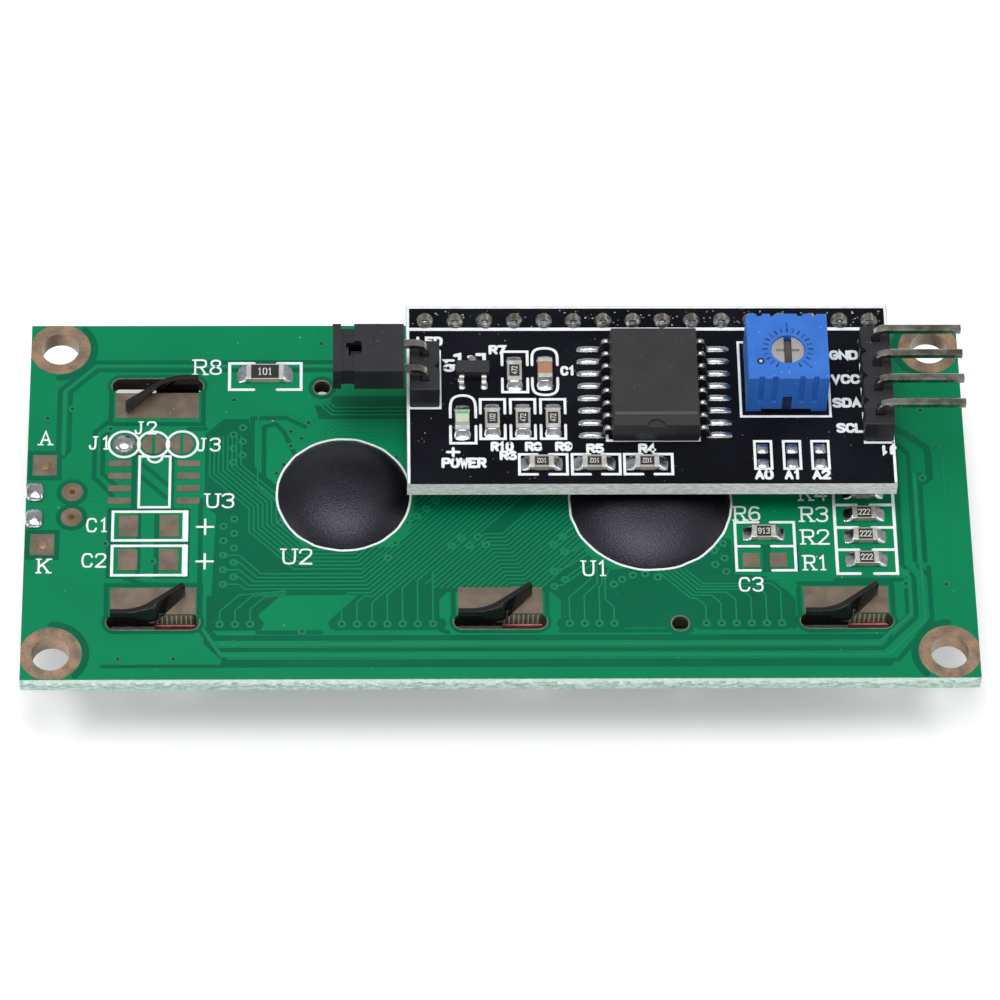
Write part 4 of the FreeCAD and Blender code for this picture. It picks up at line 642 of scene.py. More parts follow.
gapLine([(-24.6, -13.0), (-24.6, -14.4), (-22.9, -16.2)], 0.4)
gapLine([(34.2, 7.0), (35.0, 6.6), (36.7, 5.1), (36.8, 4.4), (36.8, 2.1), (36.3, 1.6)], 0.6)
for x, y in boardPlaces["tooling"]:
    gapLine(arcPath(x, y, artwork["holeGap"], steps=20), 0.4, closed=True)
    ring(rims, x, y, 0.8, 0.71, boardTop)
newPiece("holeRims", rims, "slotWall")


def traceBundle(path, count):
    for step in range(count):
        traceLine(sideways(path, artwork["pitch"] * step))


traceBundle([(-24.5, 6.4), (-24.5, 2.4), (-21.1, -1.0), (-21.1, -3.3), (-17.3, -7.1), (-11.6, -7.1),
             (-8.4, -3.9), (-2.0, 2.5), (-2.0, 6.0)], 8)
for k in range(5):  # from the lower left vias, under the resin drop and up into the hatch
    viaX, viaY, row = -22.35 - 0.9 * ((9 - k) % 2), -2.05 - 0.73 * (9 - k), -9.1 + artwork["pitch"] * k
    bend = -11.0 + row + 9.1 - 0.54 * k
    traceLine([(viaX, viaY), (-21.9, viaY), (-21.9 + viaY - row, row), (bend, row), (bend - row + 2.2, 2.2)])
traceBundle([(-6.0, 8.0), (-14.2, 8.0), (-15.1, 7.1), (-15.1, 4.8)], 6)
traceBundle([(16.0, 9.4), (-13.8, 9.4), (-14.6, 10.2)], 3)
traceLine([(-16.6, 8.0), (-17.4, 8.8), (-20.0, 8.8), (-20.4, 8.4), (-20.4, 1.3), (-18.7, -0.4)])
for path in ([(-9.0, 13.72), (-34.35, 13.72), (-36.95, 11.1), (-36.95, 4.6)],
             [(-23.4, -14.6), (31.6, -14.6), (34.5, -11.7), (34.5, -8.0), (33.6, -6.9)],
             [(-24.8, -13.2), (-23.3, -15.7), (32.4, -15.7), (35.6, -12.4), (35.6, -7.4), (35.5, -6.4),
              (35.5, 2.4)]):
    traceLine(path, artwork["wideTrace"])
leftHatch = [-1.86 + 0.54 * k for k in range(7)]
for k, start in enumerate(leftHatch):  # from the near row of vias up into the hatch
    x = -13.28 + 1.273 * k
    low = -9.5 - 0.34 * k
    level = x - start - 0.5
    if level < low and start + 0.5 + low > x + 0.65:
        traceLine([(x, -12.3), (x, low - 0.6), (x + 0.6, low), (start + 0.5 + low, low), (start + 2.5, 2.0)])
    else:
        traceLine([(x, -12.3), (x, level), (start + 2.5, 2.0)])
for k, x in enumerate((-23.47, -22.19, -20.94)):
    traceLine([(x, -12.3), (x, -11.3 + 0.1 * k), (x + 1.6 - 0.2 * k, -9.7 - 0.1 * k),
               (-18.0, -9.3 - 0.2 * k)])
for k in range(17):  # hatch between the resin drops, which steps aside once and runs on under the adapter
    path = sideways([(-6.4, -8.8), (-1.2, -3.6), (0.3, -3.6), (4.5, 0.6), (4.5, 3.0)], -artwork["pitch"] * k)
    low = -9.0 if k > 1 else -8.6
    x, y = path[0]
    path[0] = (x + low - y, low)
    while len(path) > 1 and path[0][1] > path[1][1]:
        path.pop(0)
    traceLine(path)
for path in ([(5.8, -12.3), (5.8, -10.0), (7.6, -8.2), (8.0, -6.8)],
             [(7.06, -12.3), (7.06, -9.8), (8.2, -8.6), (8.2, -6.6)],
             [(8.33, -12.3), (8.33, -9.0), (8.6, -8.6), (8.6, -6.8)],
             [(9.53, -12.3), (9.53, -11.0), (8.85, -10.2), (8.85, -8.4), (9.2, -7.2)],
             [(4.7, -4.6), (5.6, -3.7), (6.6, -2.6)], [(5.4, -3.8), (6.5, -2.6), (6.5, -1.0)],
             [(5.5, -5.4), (6.4, -5.3), (7.3, -4.4)], [(4.6, -7.4), (5.6, -7.0), (7.6, -5.6)],
             [(5.4, -8.2), (6.2, -7.5), (7.9, -6.1)], [(4.6, -8.9), (5.4, -8.7), (8.0, -6.5)],
             [(25.0, -9.0), (24.2, -8.2), (20.4, -8.2)], [(37.6, 5.25), (38.0, 4.0), (38.0, -8.0)]):
    traceLine(path)
for k, x in enumerate((17.25, 18.5, 19.78, 21.06, 22.33, 23.58)):
    level = -10.1 + 0.29 * k
    traceLine([(x, -12.3), (x, level - 0.75), (x - 0.75, level), (16.0 + 0.22 * k, level),
               (13.2 + 0.5 * k, level + 2.8 - 0.28 * k)])
    traceLine([(16.6 + 0.5 * k, -6.0 + 0.2 * k), (15.4 + 0.5 * k, -4.8 + 0.2 * k)])

# vias, and the dark bands along the near rows of them
nearVias = artwork["nearVias"]
viaPlaces = [(x, nearVias) for x in (-23.47, -22.19, -20.94)] + [(-22.25, -14.53)]
for first, step, count in ((-13.28, 1.273, 7), (5.8, 1.243, 4), (17.25, 1.266, 6)):
    viaPlaces += [(first + step * k, nearVias) for k in range(count)]
viaPlaces += [(-21.7 - 0.8 * (k % 2), 7.3 - 0.71 * k) for k in range(6)]
viaPlaces += [(-22.35 - 0.9 * (k % 2), -2.05 - 0.73 * k) for k in range(10)]
viaPlaces += [(-17.6, 6.9), (-16.7, 6.2), (-16.1, 7.8), (-17.6, 5.4), (-18.8, 2.6), (-18.2, 3.5),
              (-18.4, -2.4), (-8.75, -4.5), (-7.7, -2.5), (-6.9, -1.8), (-6.1, -1.05), (-5.3, -0.2),
              (-8.6, 4.2), (-9.4, -6.0), (-4.0, -4.8), (-3.2, -4.05), (-2.5, -4.8), (-1.8, -3.9),
              (-1.1, -4.7), (4.6, -4.7), (5.4, -3.9), (5.5, -5.4), (4.6, -7.4), (5.5, -8.2), (4.6, -8.9),
              (18.9, -4.6), (18.15, -5.35), (19.0, -6.1), (18.2, -6.75), (19.1, -7.45), (9.6, -8.7),
              (10.3, -8.2), (11.2, -7.8), (12.25, -7.65), (13.3, -8.0), (36.2, 2.0), (37.6, 5.25),
              (34.2, -7.6), (34.2, -8.7), (37.6, -8.8), (-16.6, -13.3), (-38.4, 8.3), (-36.3, 9.3),
              (-31.9, -16.0), (-27.3, -16.0), (-15.0, 16.1), (-33.2, -4.5), (-29.2, -6.3), (-22.5, 10.2),
              (36.4, 9.0), (-33.0, 7.2), (35.0, 9.4)]
for x, y in viaPlaces:
    ring(viaRing, x, y, artwork["viaOuter"], artwork["viaInner"], levels["via"], 0.012, 12)
    disc(viaHole, x, y, artwork["viaInner"] * 0.9, levels["via"], 0.006, 8)
for left, right in ((-24.0, -20.4), (-13.8, -5.1), (5.3, 10.0), (16.8, 24.1)):
    line(darkArea, [(left, nearVias), (right, nearVias)], artwork["viaBand"], levels["gap"], 0.004)
newPiece("maskedGaps", darkArea, "darkMask")
newPiece("maskedTraces", lightTrace, "traceMask")
newPiece("maskedVias", viaRing, "traceMask")
newPiece("viaHoles", viaHole, "darkHole")
print("copper pattern made")

# printed lines and lettering; letters are strokes on a 7 by 10 grid, and ~ starts a smooth stroke
oval = "~3.5,10 6,9.6 7,7 7,3 6,.4 3.5,0 1,.4 0,3 0,7 1,9.6 3.5,10"
bowl = "0,0 0,10|~0,10 5,10 7,9.4 7,5.6 5,5 0,5"
strokes = {
    "0": oval, "1": "1.4,8 3.5,10 3.5,0",
    "2": "~0,7.6 .6,9.6 3.5,10 6.4,9.6 7,7.4 6,5.4 0,0|0,0 7,0",
    "3": "~0,8.6 1.5,10 5.5,10 7,8.6 6.5,6 3,5.3|~3,5.3 6.5,5 7,2 5.5,0 1.5,0 0,1.5", "4": "5,0 5,10 0,3 7,3",
    "5": "6.5,10 1,10 .5,5.5|~.5,5.5 3.5,6.3 7,5 7,1.5 5,0 1.5,0 0,1.5",
    "6": "~6.5,9 4,10 1.5,9.5 0,6 0,3 1,.3 3.5,0 6.5,.5 7,3 6,5.5 3.5,6 .5,4.5", "7": "0,10 7,10 2.5,0",
    "8": "~3.5,5.3 .8,6.3 .5,9 3.5,10 6.5,9 6.2,6.3 3.5,5.3 .3,4 0,1 3.5,0 7,1 6.7,4 3.5,5.3",
    "9": "~.5,1 3,0 5.5,.5 7,4 7,7 6,9.7 3.5,10 .5,9.5 0,7 1,4.5 3.5,4 6.5,5.5",
    "A": "0,0 3.5,10 7,0|1.3,3.5 5.7,3.5", "C": "~7,7.6 6,9.8 3.5,10 1,9.6 0,6.5 0,3.5 1,.4 3.5,0 6,.2 7,2.4",
    "D": "0,0 0,10|~0,10 4,10 7,9 7,1 4,0 0,0", "E": "7,10 0,10 0,0 7,0|0,5.2 5,5.2",
    "G": "~7,8 5.5,9.8 3.5,10 1,9.3 0,6.5 0,3.5 1,.7 3.5,0 6,.5 7,2|7,2 7,4.6 4,4.6",
    "J": "~4.6,10 4.6,3 4,.3 2,0 .3,.6 0,2.6", "K": "0,0 0,10|7,10 0,4|2.5,6.1 7,0", "L": "0,10 0,0 6.5,0",
    "N": "0,0 0,10 7,0 7,10", "O": oval, "P": bowl, "Q": oval + "|4,3 7,-.6", "R": bowl + "|3.6,5 7,0",
    "S": "~7,8.5 5.5,10 1.5,10 0,8.5 .3,6.2 6.7,4 7,1.5 5.5,0 1.5,0 0,1.5",
    "U": "~0,10 0,2.6 .8,.4 3.5,0 6.2,.4 7,2.6 7,10", "V": "0,10 3.5,0 7,10",
    "W": "0,10 1.8,0 3.5,7 5.2,0 7,10",
    "+": "0,5 7,5|3.5,8.5 3.5,1.5"}
feet = {"R": "0,0 0,10 7,0", "A": "0,0 7,0", "K": "0,0 0,10 7,10 7,0", "U": "0,10 7,10", "J": "4.6,10",
        "1": "3.5,0"}


def pairs(text):
    return [tuple(float(v) for v in pair.split(",")) for pair in text.split()]


def lettering(shape, text, x, y, height, width, stroke, level, turn=0.0, footed=False, rise=0.02):
    # x, y is the middle of the word; width is that of one letter
    gap = width * 0.42
    start = -(len(text) * width + (len(text) - 1) * gap) / 2

    def put(px, py, k):
        return turnedSpot(x, y, turn, start + k * (width + gap) + px / 7 * width, (py / 10 - 0.5) * height)

    for k, letter in enumerate(text):
        for part in strokes[letter].split("|"):
            points = pairs(part.lstrip("~"))
            points = rounded(points) if part.startswith("~") else points
            line(shape, [put(px, py, k) for px, py in points], stroke, level, rise)
        if footed and letter in feet:
            for px, py in pairs(feet[letter]):
                line(shape, [put(px - 1.7, py, k), put(px + 1.7, py, k)], stroke * 0.75, level, rise)


greenPrint = {"level": boardTop + 0.03, "line": 0.2, "letters": 0.155, "boxes": 0.22, "brackets": 0.24}
silkGreen = Shape()
silk = penFor(silkGreen, greenPrint["line"], greenPrint["level"])
for x in (-31.8, -29.3, -26.85):
    silk(arcPath(x, 5.6, 1.32, steps=28), closed=True)
silk([(-27.85, -0.85), (-27.85, 4.35), (-28.5, 4.35)] + arcPath(-29.15, 4.35, 0.62, 0, -180, 12)
     + [(-30.45, 4.35), (-30.45, -0.85)], closed=True)
for low, high in ((-4.2, -1.3), (-7.7, -4.75)):
    silk(rectanglePath(-32.6, low, -26.35, high), greenPrint["boxes"], True)
    silk([(-26.5, low + 0.05), (-26.5, high - 0.05)], 0.4)
    middle = (low + high) / 2
    silk([(-25.5, middle - 0.1), (-24.1, middle - 0.1)], 0.17)
    silk([(-24.8, middle - 0.85), (-24.8, middle + 0.65)], 0.17)
for end, back in ((-20.8, -22.9), (-18.8, -16.75)):
    silk(claspPath(end, back, 14.0, 11.25), greenPrint["brackets"])
for path in (claspPath(22.0, 20.0, -2.5, -7.35), claspPath(23.0, 25.0, -2.5, -7.35),
             [(20.0, -4.92), (22.0, -4.92)], [(23.0, -4.92), (25.0, -4.92)]):
    silk(path, greenPrint["boxes"])
for back, end in ((28.5, 30.4), (33.55, 31.6)):
    silk([(back, 2.2), (back, -7.7), (end, -7.7)], greenPrint["brackets"])
for y in (1.5, -0.75, -3.05, -5.3):
    for left, right in ((28.5, 30.4), (31.6, 33.55)):
        silk([(left, y), (right, y)], greenPrint["brackets"])
for text, x, y, height, width in (
        ("R8", -24.75, 13.6, 1.5, 0.92), ("J1", -33.85, 5.75, 1.25, 0.72), ("J2", -30.0, 7.3, 1.2, 0.72),
        ("J3", -24.6, 5.55, 1.25, 0.78), ("U3", -23.55, -0.2, 1.35, 0.92), ("C1", -33.85, -2.65, 1.3, 0.75),
        ("C2", -34.1, -6.2, 1.3, 0.8), ("U2", -17.0, -5.85, 1.45, 0.98), ("U1", 8.1, -7.1, 1.45, 0.85),
        ("R6", 21.1, -1.6, 1.35, 0.85), ("C3", 21.15, -8.75, 1.3, 0.8), ("R4", 26.8, 0.45, 1.4, 0.9),
        ("R3", 26.8, -1.7, 1.4, 0.9), ("R2", 26.8, -4.0, 1.4, 0.9), ("R1", 26.75, -6.6, 1.4, 0.8),
        ("A", -38.5, 6.25, 1.35, 0.85), ("K", -38.3, -6.75, 1.35, 0.85)):
    lettering(silkGreen, text, x, y, height, width, greenPrint["letters"], greenPrint["level"], footed=True)


def blobOutline(x, y, radius, seed):  # hand-thick print line round a resin drop
    path = []
    for px, py in arcPath(x, y, radius, steps=90):
        ripple = 1 + 0.012 * noise.noise(Vector((px * 0.8, py * 0.8, seed)))
        path.append((x + (px - x) * ripple, y + (py - y) * ripple))
    silk(path, 0.17, True)


leftSpot, rightSpot = middleOf("left_resin"), middleOf("right_resin")
blobOutline(leftSpot[0], leftSpot[1], 5.68, 1.0)
blobOutline(rightSpot[0], rightSpot[1], 6.88, 5.0)
newPiece("boardPrint", silkGreen, "silkInk")

# the same on the adapter board
blackPrint = {"level": adapterTop + 0.01, "line": 0.22, "fine": 0.2, "bold": 0.3, "letters": 0.24,
              "left": -7.6, "right": 33.45, "near": -1.15, "far": 16.95}
silkBlack = Shape()
adapterLine = penFor(silkBlack, blackPrint["line"], blackPrint["level"])
left, right = blackPrint["left"], blackPrint["right"]
adapterLine(cupPath(left, right, blackPrint["near"], blackPrint["far"]))
adapterLine([(left, 14.65), (right, 14.65)], blackPrint["bold"])
adapterLine(cupPath(-7.5, -4.9, 12.4, 6.45), blackPrint["fine"])
adapterLine(cupPath(0.42, 2.58, 10.9, 12.3))
adapterLine(cupPath(0.42, 2.58, 9.5, 8.1))
top = rounded(cupPath(2.98, 5.14, 10.9, 12.65), 3)
adapterLine(top)
adapterLine([(a, 20.45 - b) for a, b in top])
adapterLine(rounded(cupPath(-4.05, -1.9, 5.5, 7.75), 3))
adapterLine(cupPath(-4.05, -1.9, 4.6, 2.85))
for x in (-0.46, 2.1, 4.66):
    for rim, foot in ((5.9, 7.35), (4.7, 3.3)):
        adapterLine(cupPath(x - 1.04, x + 1.04, rim, foot))
for x in (3.74, 8.2, 12.62):
    for side in (-1, 1):
        adapterLine(claspPath(x + 0.5 * side, x + 2.02 * side, 1.7, -0.33))
for x in (22.35, 24.8, 27.2):
    adapterLine(rectanglePath(x - 0.7, 0.2, x + 0.7, 3.0), blackPrint["fine"], True)
adapterLine(cupPath(9.2, 17.0, 3.6, 3.1), blackPrint["fine"])
adapterLine(rectanglePath(20.65, 5.55, 28.25, 13.25), blackPrint["fine"], True)
adapterLine([(33.4, 2.85), (31.05, 2.85), (31.05, 13.4)], blackPrint["fine"])
for path in ([(-3.6, 11.9), (-3.2, 12.0), (-3.2, 11.5)], [(-1.7, 12.0), (-1.1, 12.0), (-1.1, 11.5)],
             [(-2.4, 11.75), (-2.1, 11.75)], [(-3.2, 9.6), (-3.2, 8.8)], [(-1.2, 9.6), (-1.2, 8.8)]):
    adapterLine(path, blackPrint["bold"])
for text, x, y, height, width, turn in (
        ("LED", -5.75, 13.4, 0.72, 0.52, 0), ("R7", 0.05, 12.5, 0.72, 0.52, 0),
    ("C1", 6.05, 10.3, 0.75, 0.46, 0),
        ("R10", 0.3, 2.5, 0.72, 0.44, 0), ("R8", 2.95, 2.5, 0.72, 0.5, 0), ("R9", 5.5, 2.5, 0.72, 0.5, 0),
        ("R6", 0.8, 1.6, 0.72, 0.5, 0), ("R5", 8.15, 2.3, 0.72, 0.52, 0), ("R4", 12.55, 2.3, 0.72, 0.52, 0),
        ("POWER", -2.95, 0.85, 0.8, 0.53, 0), ("+", -3.85, 1.95, 1.1, 1.0, 0),
    ("A0", 22.35, -0.4, 0.75, 0.55, 0), ("J1", 32.95, 2.1, 0.72, 0.5, 180),
        ("A1", 24.8, -0.4, 0.75, 0.5, 0), ("A2", 27.2, -0.4, 0.75, 0.55, 0),
    ("GND", 29.65, 11.9, 0.75, 0.58, 0),
        ("VCC", 29.7, 9.4, 0.75, 0.58, 0), ("SDA", 29.7, 6.95, 0.75, 0.58, 0),
    ("SCL", 29.85, 4.35, 0.75, 0.55, 0),
        ("Q1", -4.1, 11.0, 0.75, 0.55, 90)):
    lettering(silkBlack, text, x, y, height, width, blackPrint["letters"], blackPrint["level"], turn)
newPiece("adapterPrint", silkBlack, "silkInk")
print("print made")


# pads, solder and resin on the green board
pads = {"lift": 0.05, "chip": (0.97, 0.3), "chipInner": (0.87, 0.2), "capacitor": (0.8, 1.07),
        "lamp": (1.0, 1.05),
        "ring": (0.9, 0.45), "bridge": 1.0}
padShape = Shape()
copperTop = boardTop + pads["lift"]
longHalf, wideHalf = pads["chip"]
shortHalf, narrowHalf = pads["chipInner"]
for side in (-1, 1):
    for step in (-1.5, -0.5, 0.5, 1.5):
        x, y = -29.2 + 2.92 * side, 1.71 + 1.27 * step
        field(padShape, [(x - longHalf, y - narrowHalf), (x - shortHalf, y - wideHalf),
                         (x + shortHalf, y - wideHalf), (x + longHalf, y - narrowHalf),
                         (x + longHalf, y + narrowHalf), (x + shortHalf, y + wideHalf),
                         (x - shortHalf, y + wideHalf), (x - longHalf, y + narrowHalf)], boardTop,
              pads["lift"])
for y in (-2.75, -6.15):
    for side in (-1, 1):
        field(padShape, boxPath(-29.55 + 1.72 * side, y, *pads["capacitor"]), boardTop, pads["lift"])
for side in (-1, 1):
    x = 22.4 + 1.15 * side
    field(padShape, rectanglePath(x - 0.72, -7.0, x + 0.72, -5.6), boardTop, pads["lift"])
for y in (3.45, -4.6):
    field(padShape, boxPath(-38.5, y, *pads["lamp"]), boardTop, pads["lift"])
for x, y in boardPlaces["rings"]:
    ring(padShape, x, y, *pads["ring"], boardTop, pads["lift"])
for x in (-31.8, -29.3, -26.9):
    for start in (98, 278):
        field(padShape, arcPath(x, 5.6, pads["bridge"], start, 164, 18), boardTop, pads["lift"])
newPiece("roundedPads", padShape, "bareCopper", replaces=("bare_pads",))

eyelet = {"outer": 2.6, "inner": 1.6, "lip": 0.05, "steps": 64, "reachX": 39.98, "reachY": 17.98}
eyelets = Shape()
low, high = boardFront - eyelet["lip"], boardTop + eyelet["lip"]
for x, y in boardPlaces["fixings"]:
    points = []
    for radius, height in ((eyelet["outer"], boardFront), (eyelet["outer"], low), (eyelet["inner"], low),
                           (eyelet["inner"], high), (eyelet["outer"], high), (eyelet["outer"], boardTop)):
        points += [(min(eyelet["reachX"], max(-eyelet["reachX"], px)),
                    min(eyelet["reachY"], max(-eyelet["reachY"], py)), height)
                   for px, py in arcPath(x, y, radius, steps=eyelet["steps"])]
    eyelets.add(points, ringFaces(5, eyelet["steps"]))
tidyNormals(newPiece("platedEyelets", eyelets, "ringCopper", replaces=("fixing_pads",)))

resins = {"height": 1.5, "shoulder": 2.7, "fall": 0.9, "rings": 22, "steps": 96, "wobble": 0.006}
for name, replaced, (x, y, _), radius, seed in (("leftDrop", "left_resin", leftSpot, 5.6, 2.0),
                                                ("rightDrop", "right_resin", rightSpot, 6.8, 9.0)):
    drop = Shape()
    profile = []
    for k in range(resins["rings"]):
        share = math.cos(math.pi / 2 * k / resins["rings"])
        profile.append((radius * share,
                        boardTop + resins["height"] * (1 - share ** resins["shoulder"]) ** resins["fall"]))
    profile.append((0.02, boardTop + resins["height"]))
    turned(drop, profile, x, y, resins["steps"], resins["wobble"], seed)
    newPiece(name, drop, "glossResin", smooth=True, replaces=(replaced,))

# length, width, height and fullness of the drops of solder, and the steps of the small ones
drops = {"edge": (1.5, 1.9, 0.42, 4.0), "bridge": (1.8, 1.8, 0.42, 2.2), "padMark": (0.9, 1.0, 0.1, 2.2),
         "leg": (2.35, 0.7, 0.36, 3.4), "knee": (0.72, 0.46, 0.24, 3.0, 6),
         "smallLeg": (0.7, 0.95, 0.16, 3.0),
         "address": (1.0, 1.0, 0.16, 4.5, 8)}
landJoints, padMarks = Shape(), Shape()
for y in (0.68, -2.03):
    mound(landJoints, -39.22, y, copperTop, *drops["edge"])
mound(landJoints, -31.8, 5.6, copperTop, *drops["bridge"])
for y in (3.45, -4.6):
    mound(padMarks, -38.45, y, copperTop, *drops["padMark"])
newPiece("padMarks", padMarks, "padMark", smooth=True)
newPiece("landJoints", landJoints, "softSolder", smooth=True, replaces=("land_solder",))

# solder at the ends of the chips, which are (x, y, upright, length, width)
bigChip, smallChip = (3.2, 1.6), (2.0, 1.25)
joint = {"overlap": 0.02, "reach": 0.8, "height": 0.5}
middleX, middleY, _ = middleOf("adapter_board")
spanX, spanY, _ = [(b - a) / mm for a, b in zip(*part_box("adapter_board"))]


def adapterSpot(across, along):  # shares of the adapter's size, from its middle
    return middleX + across * spanX, middleY + along * spanY


def chipJoints(name, chips, level, replaced):
    shape = Shape()
    for x, y, upright, length, width in chips:
        for turn in ((90, 270) if upright else (0, 180)):
            fillet(shape, x, y, level, length / 2 - joint["overlap"], width, joint["reach"], joint["height"],
                   turn)
    tidyNormals(newPiece(name, shape, "softSolder", smooth=True, replaces=(replaced,)))


boardChips = [(-19.85, 12.8, False, *bigChip), (22.4, -3.7, False, *smallChip)]
boardChips += [(31.0, y, False, *smallChip) for y in (-6.35, -4.0, -1.8, 0.5)]
adapterChips = [(*adapterSpot(a, b), True, *smallChip) for a, b in (
    (-0.2775, 0.1141), (-0.3247, -0.1522), (-0.2618, -0.1522), (-0.2001, -0.1522), (-0.2146, 0.1168),
    (-0.3863, -0.1603))]
adapterChips += [(*adapterSpot(a, -0.3913), False, *smallChip) for a in (-0.2255, -0.1179, -0.0103)]
chipJoints("boardChipJoints", boardChips, boardTop, "board_solder")
chipJoints("adapterChipJoints", adapterChips, adapterTop, "adapter_solder")
print("pads and joints made")

# header joints, chip leads and bent pins
header = {"left": -6.1, "y": 15.5, "pitch": 2.54, "pins": 16}
pitch = header["pitch"]
jointProfile = [(0.78, 0.0), (0.77, 0.07), (0.72, 0.17), (0.62, 0.27), (0.5, 0.35), (0.41, 0.41),
                (0.36, 0.47), (0.3, 0.48)]


def pinJoints(name, places, level, side, replaced):
    shape = Shape()
    for k, (x, y) in enumerate(places):
        profile = [(r * (1 + 0.04 * math.sin(3.1 * k + r * 4)), level + side * h) for r, h in jointProfile]
        turned(shape, profile, x, y, 20, 0.09, k * 1.7)
    tidyNormals(newPiece(name, shape, "dullSolder", smooth=True, replaces=(replaced,)))


headerPlaces = [(header["left"] + pitch * k, header["y"]) for k in range(header["pins"])]
busX, busY, _ = middleOf("bus_header_block")
jumperX, jumperY, _ = middleOf("jumper_header_block")
trimX, trimY, _ = middleOf("trimmer_housing")
connectorPlaces = [(busX, busY + pitch * (k - 1.5)) for k in range(4)]
connectorPlaces += [(jumperX, jumperY + pitch * (k - 0.5)) for k in range(2)]
connectorPlaces += [(trimX + pitch * a, trimY + pitch / 2 * b) for a, b in ((-1, -1), (1, -1), (0, 1))]
pinJoints("headerJointsRear", headerPlaces, adapterTop, 1, "header_solder_rear")
pinJoints("headerJointsFront", headerPlaces, boardFront, -1, "header_solder_front")
pinJoints("connectorJoints", connectorPlaces, adapterFront, -1, "connector_solder")

bentPin = {"size": 0.64, "rise": 3.85, "tail": 0.85, "bend": 0.8, "busReach": 7.2, "jumperReach": 6.25}
low, level = adapterFront - bentPin["tail"], adapterTop + bentPin["rise"]
bend = bentPin["bend"]
for name, x, y, side, reach, count, replaced in (
        ("busPins", busX, busY, 1, bentPin["busReach"], 4, "bus_header_pins"),
        ("jumperPins", jumperX, jumperY, -1, bentPin["jumperReach"], 2, "jumper_header_pins")):
    shape = Shape()
    path = [(0, low + 0.05), (0, level - bend)] + arcPath(bend, level - bend, bend, 180, -90, 8)[1:]
    path.append((reach - 0.05, level))
    for k in range(count):
        row = y + pitch * (k - (count - 1) / 2)
        strip(shape, path, bentPin["size"], bentPin["size"],
              lambda run, across, height: (x + side * run, row + across, height))
    tidyNormals(newPiece(name, shape, "tinnedPin", replaces=(replaced,)))

expander = {"pitch": 1.27, "width": 0.42, "sheet": 0.25, "knee": 1.1, "kneeOut": 4.02, "footOut": 5.4,
            "legs": 8}
chipX, chipY, _ = middleOf("expander_body")
legs, feetSolder, knobs = Shape(), Shape(), Shape()
lift = adapterTop + 0.05 + expander["sheet"] / 2
knee = lift + expander["knee"]
legPath = rounded([(3.72, knee), (4.05, knee), (4.32, lift + 1.02), (4.42, lift + 0.5), (4.56, lift + 0.05),
                   (4.8, lift), (5.15, lift)])
for side in (-1, 1):
    for k in range(expander["legs"]):
        row = chipY + expander["pitch"] * (k - 3.5)
        strip(legs, legPath, expander["width"], expander["sheet"],
              lambda run, across, height: (chipX + side * run, row + across, height))
        mound(feetSolder, chipX + side * expander["footOut"], row, adapterTop, *drops["leg"])
        mound(knobs, chipX + side * expander["kneeOut"], row, knee, *drops["knee"])
tidyNormals(newPiece("expanderLegs", legs, "leadTin", replaces=("expander_leads",)))
newPiece("expanderKnees", knobs, "leadTin", smooth=True)
newPiece("expanderJoints", feetSolder, "softSolder", smooth=True, replaces=("expander_solder",))

transistor = {"spacing": 0.95, "width": 0.42, "sheet": 0.14, "knee": 0.45, "footOut": 1.3}
placeX, placeY, _ = middleOf("transistor_body")
smallLegs, smallJoints = Shape(), Shape()
base = adapterTop + 0.05 + transistor["sheet"] / 2
knee = base + transistor["knee"]
path = rounded([(0.62, knee), (0.82, knee), (0.9, base + 0.05), (1.02, base), (1.25, base)])
for side, shift in ((-1, -transistor["spacing"]), (-1, transistor["spacing"]), (1, 0.0)):
    strip(smallLegs, path, transistor["width"], transistor["sheet"],
          lambda run, across, height: (placeX + shift + across, placeY + side * run, height))
    mound(smallJoints, placeX + shift, placeY + side * transistor["footOut"], adapterTop, *drops["smallLeg"])
tidyNormals(newPiece("transistorLegs", smallLegs, "endTin", replaces=("transistor_leads",)))
newPiece("transistorJoints", smallJoints, "softSolder", smooth=True)

addressMounds = Shape()
for a in (0.2267, 0.2872, 0.3452):
    x, y = adapterSpot(a, -0.3505)
    for side in (-1, 1):
        mound(addressMounds, x, y + 0.75 * side, adapterTop, *drops["address"])
newPiece("addressMounds", addressMounds, "softSolder", smooth=True, replaces=("address_pads",))

edgeRounds = {  # width of the fine round on the edges of moulded and folded pieces
    0.07: ["trimmer_housing", "expander_body", "transistor_body", "supply_capacitor"], 0.2: ["jumper_cap"],
    0.08: ["header_strip", "bus_header_block", "jumper_header_block"], 0.06: ["bezel"],
    0.05: ["trimmer_rotor", "board_resistors_ends", "adapter_resistors_ends", "supply_capacitor_ends",
           "power_lamp_ends", "power_lamp"]}
for width, names in edgeRounds.items():
    for name in names:
        weld = nodes[name].modifiers.new("joinSeams", "WELD")
        weld.merge_threshold = 0.001 * mm
        bevel = nodes[name].modifiers.new("softEdges", "BEVEL")
        bevel.width = width * mm
        bevel.segments = 2
        bevel.limit_method = "ANGLE"
        bevel.angle_limit = math.radians(35)
        bevel.harden_normals = True

# dark glaze and value numbers on the chips
chipMarks = {"glaze": 0.02, "numbers": 0.024, "inset": 0.42, "letter": (0.56, 0.25, 0.07)}
valueNumbers, glaze = Shape(), Shape()


def markChip(x, y, upright, length, width, top, text, turn):
    small = top > adapterTop
    along, across = length / 2 - chipMarks["inset"], width / 2 - (0.2 if small else 0.12)
    if upright:
        along, across = across, along
    field(glaze, boxPath(x, y, along, across), top, chipMarks["glaze"])
    size = width / (1.6 if small else 1.3)
    height, letter, stroke = [size * share for share in chipMarks["letter"]]
    lettering(valueNumbers, text, x, y, height, letter, stroke, top + chipMarks["numbers"], turn, True, 0.008)


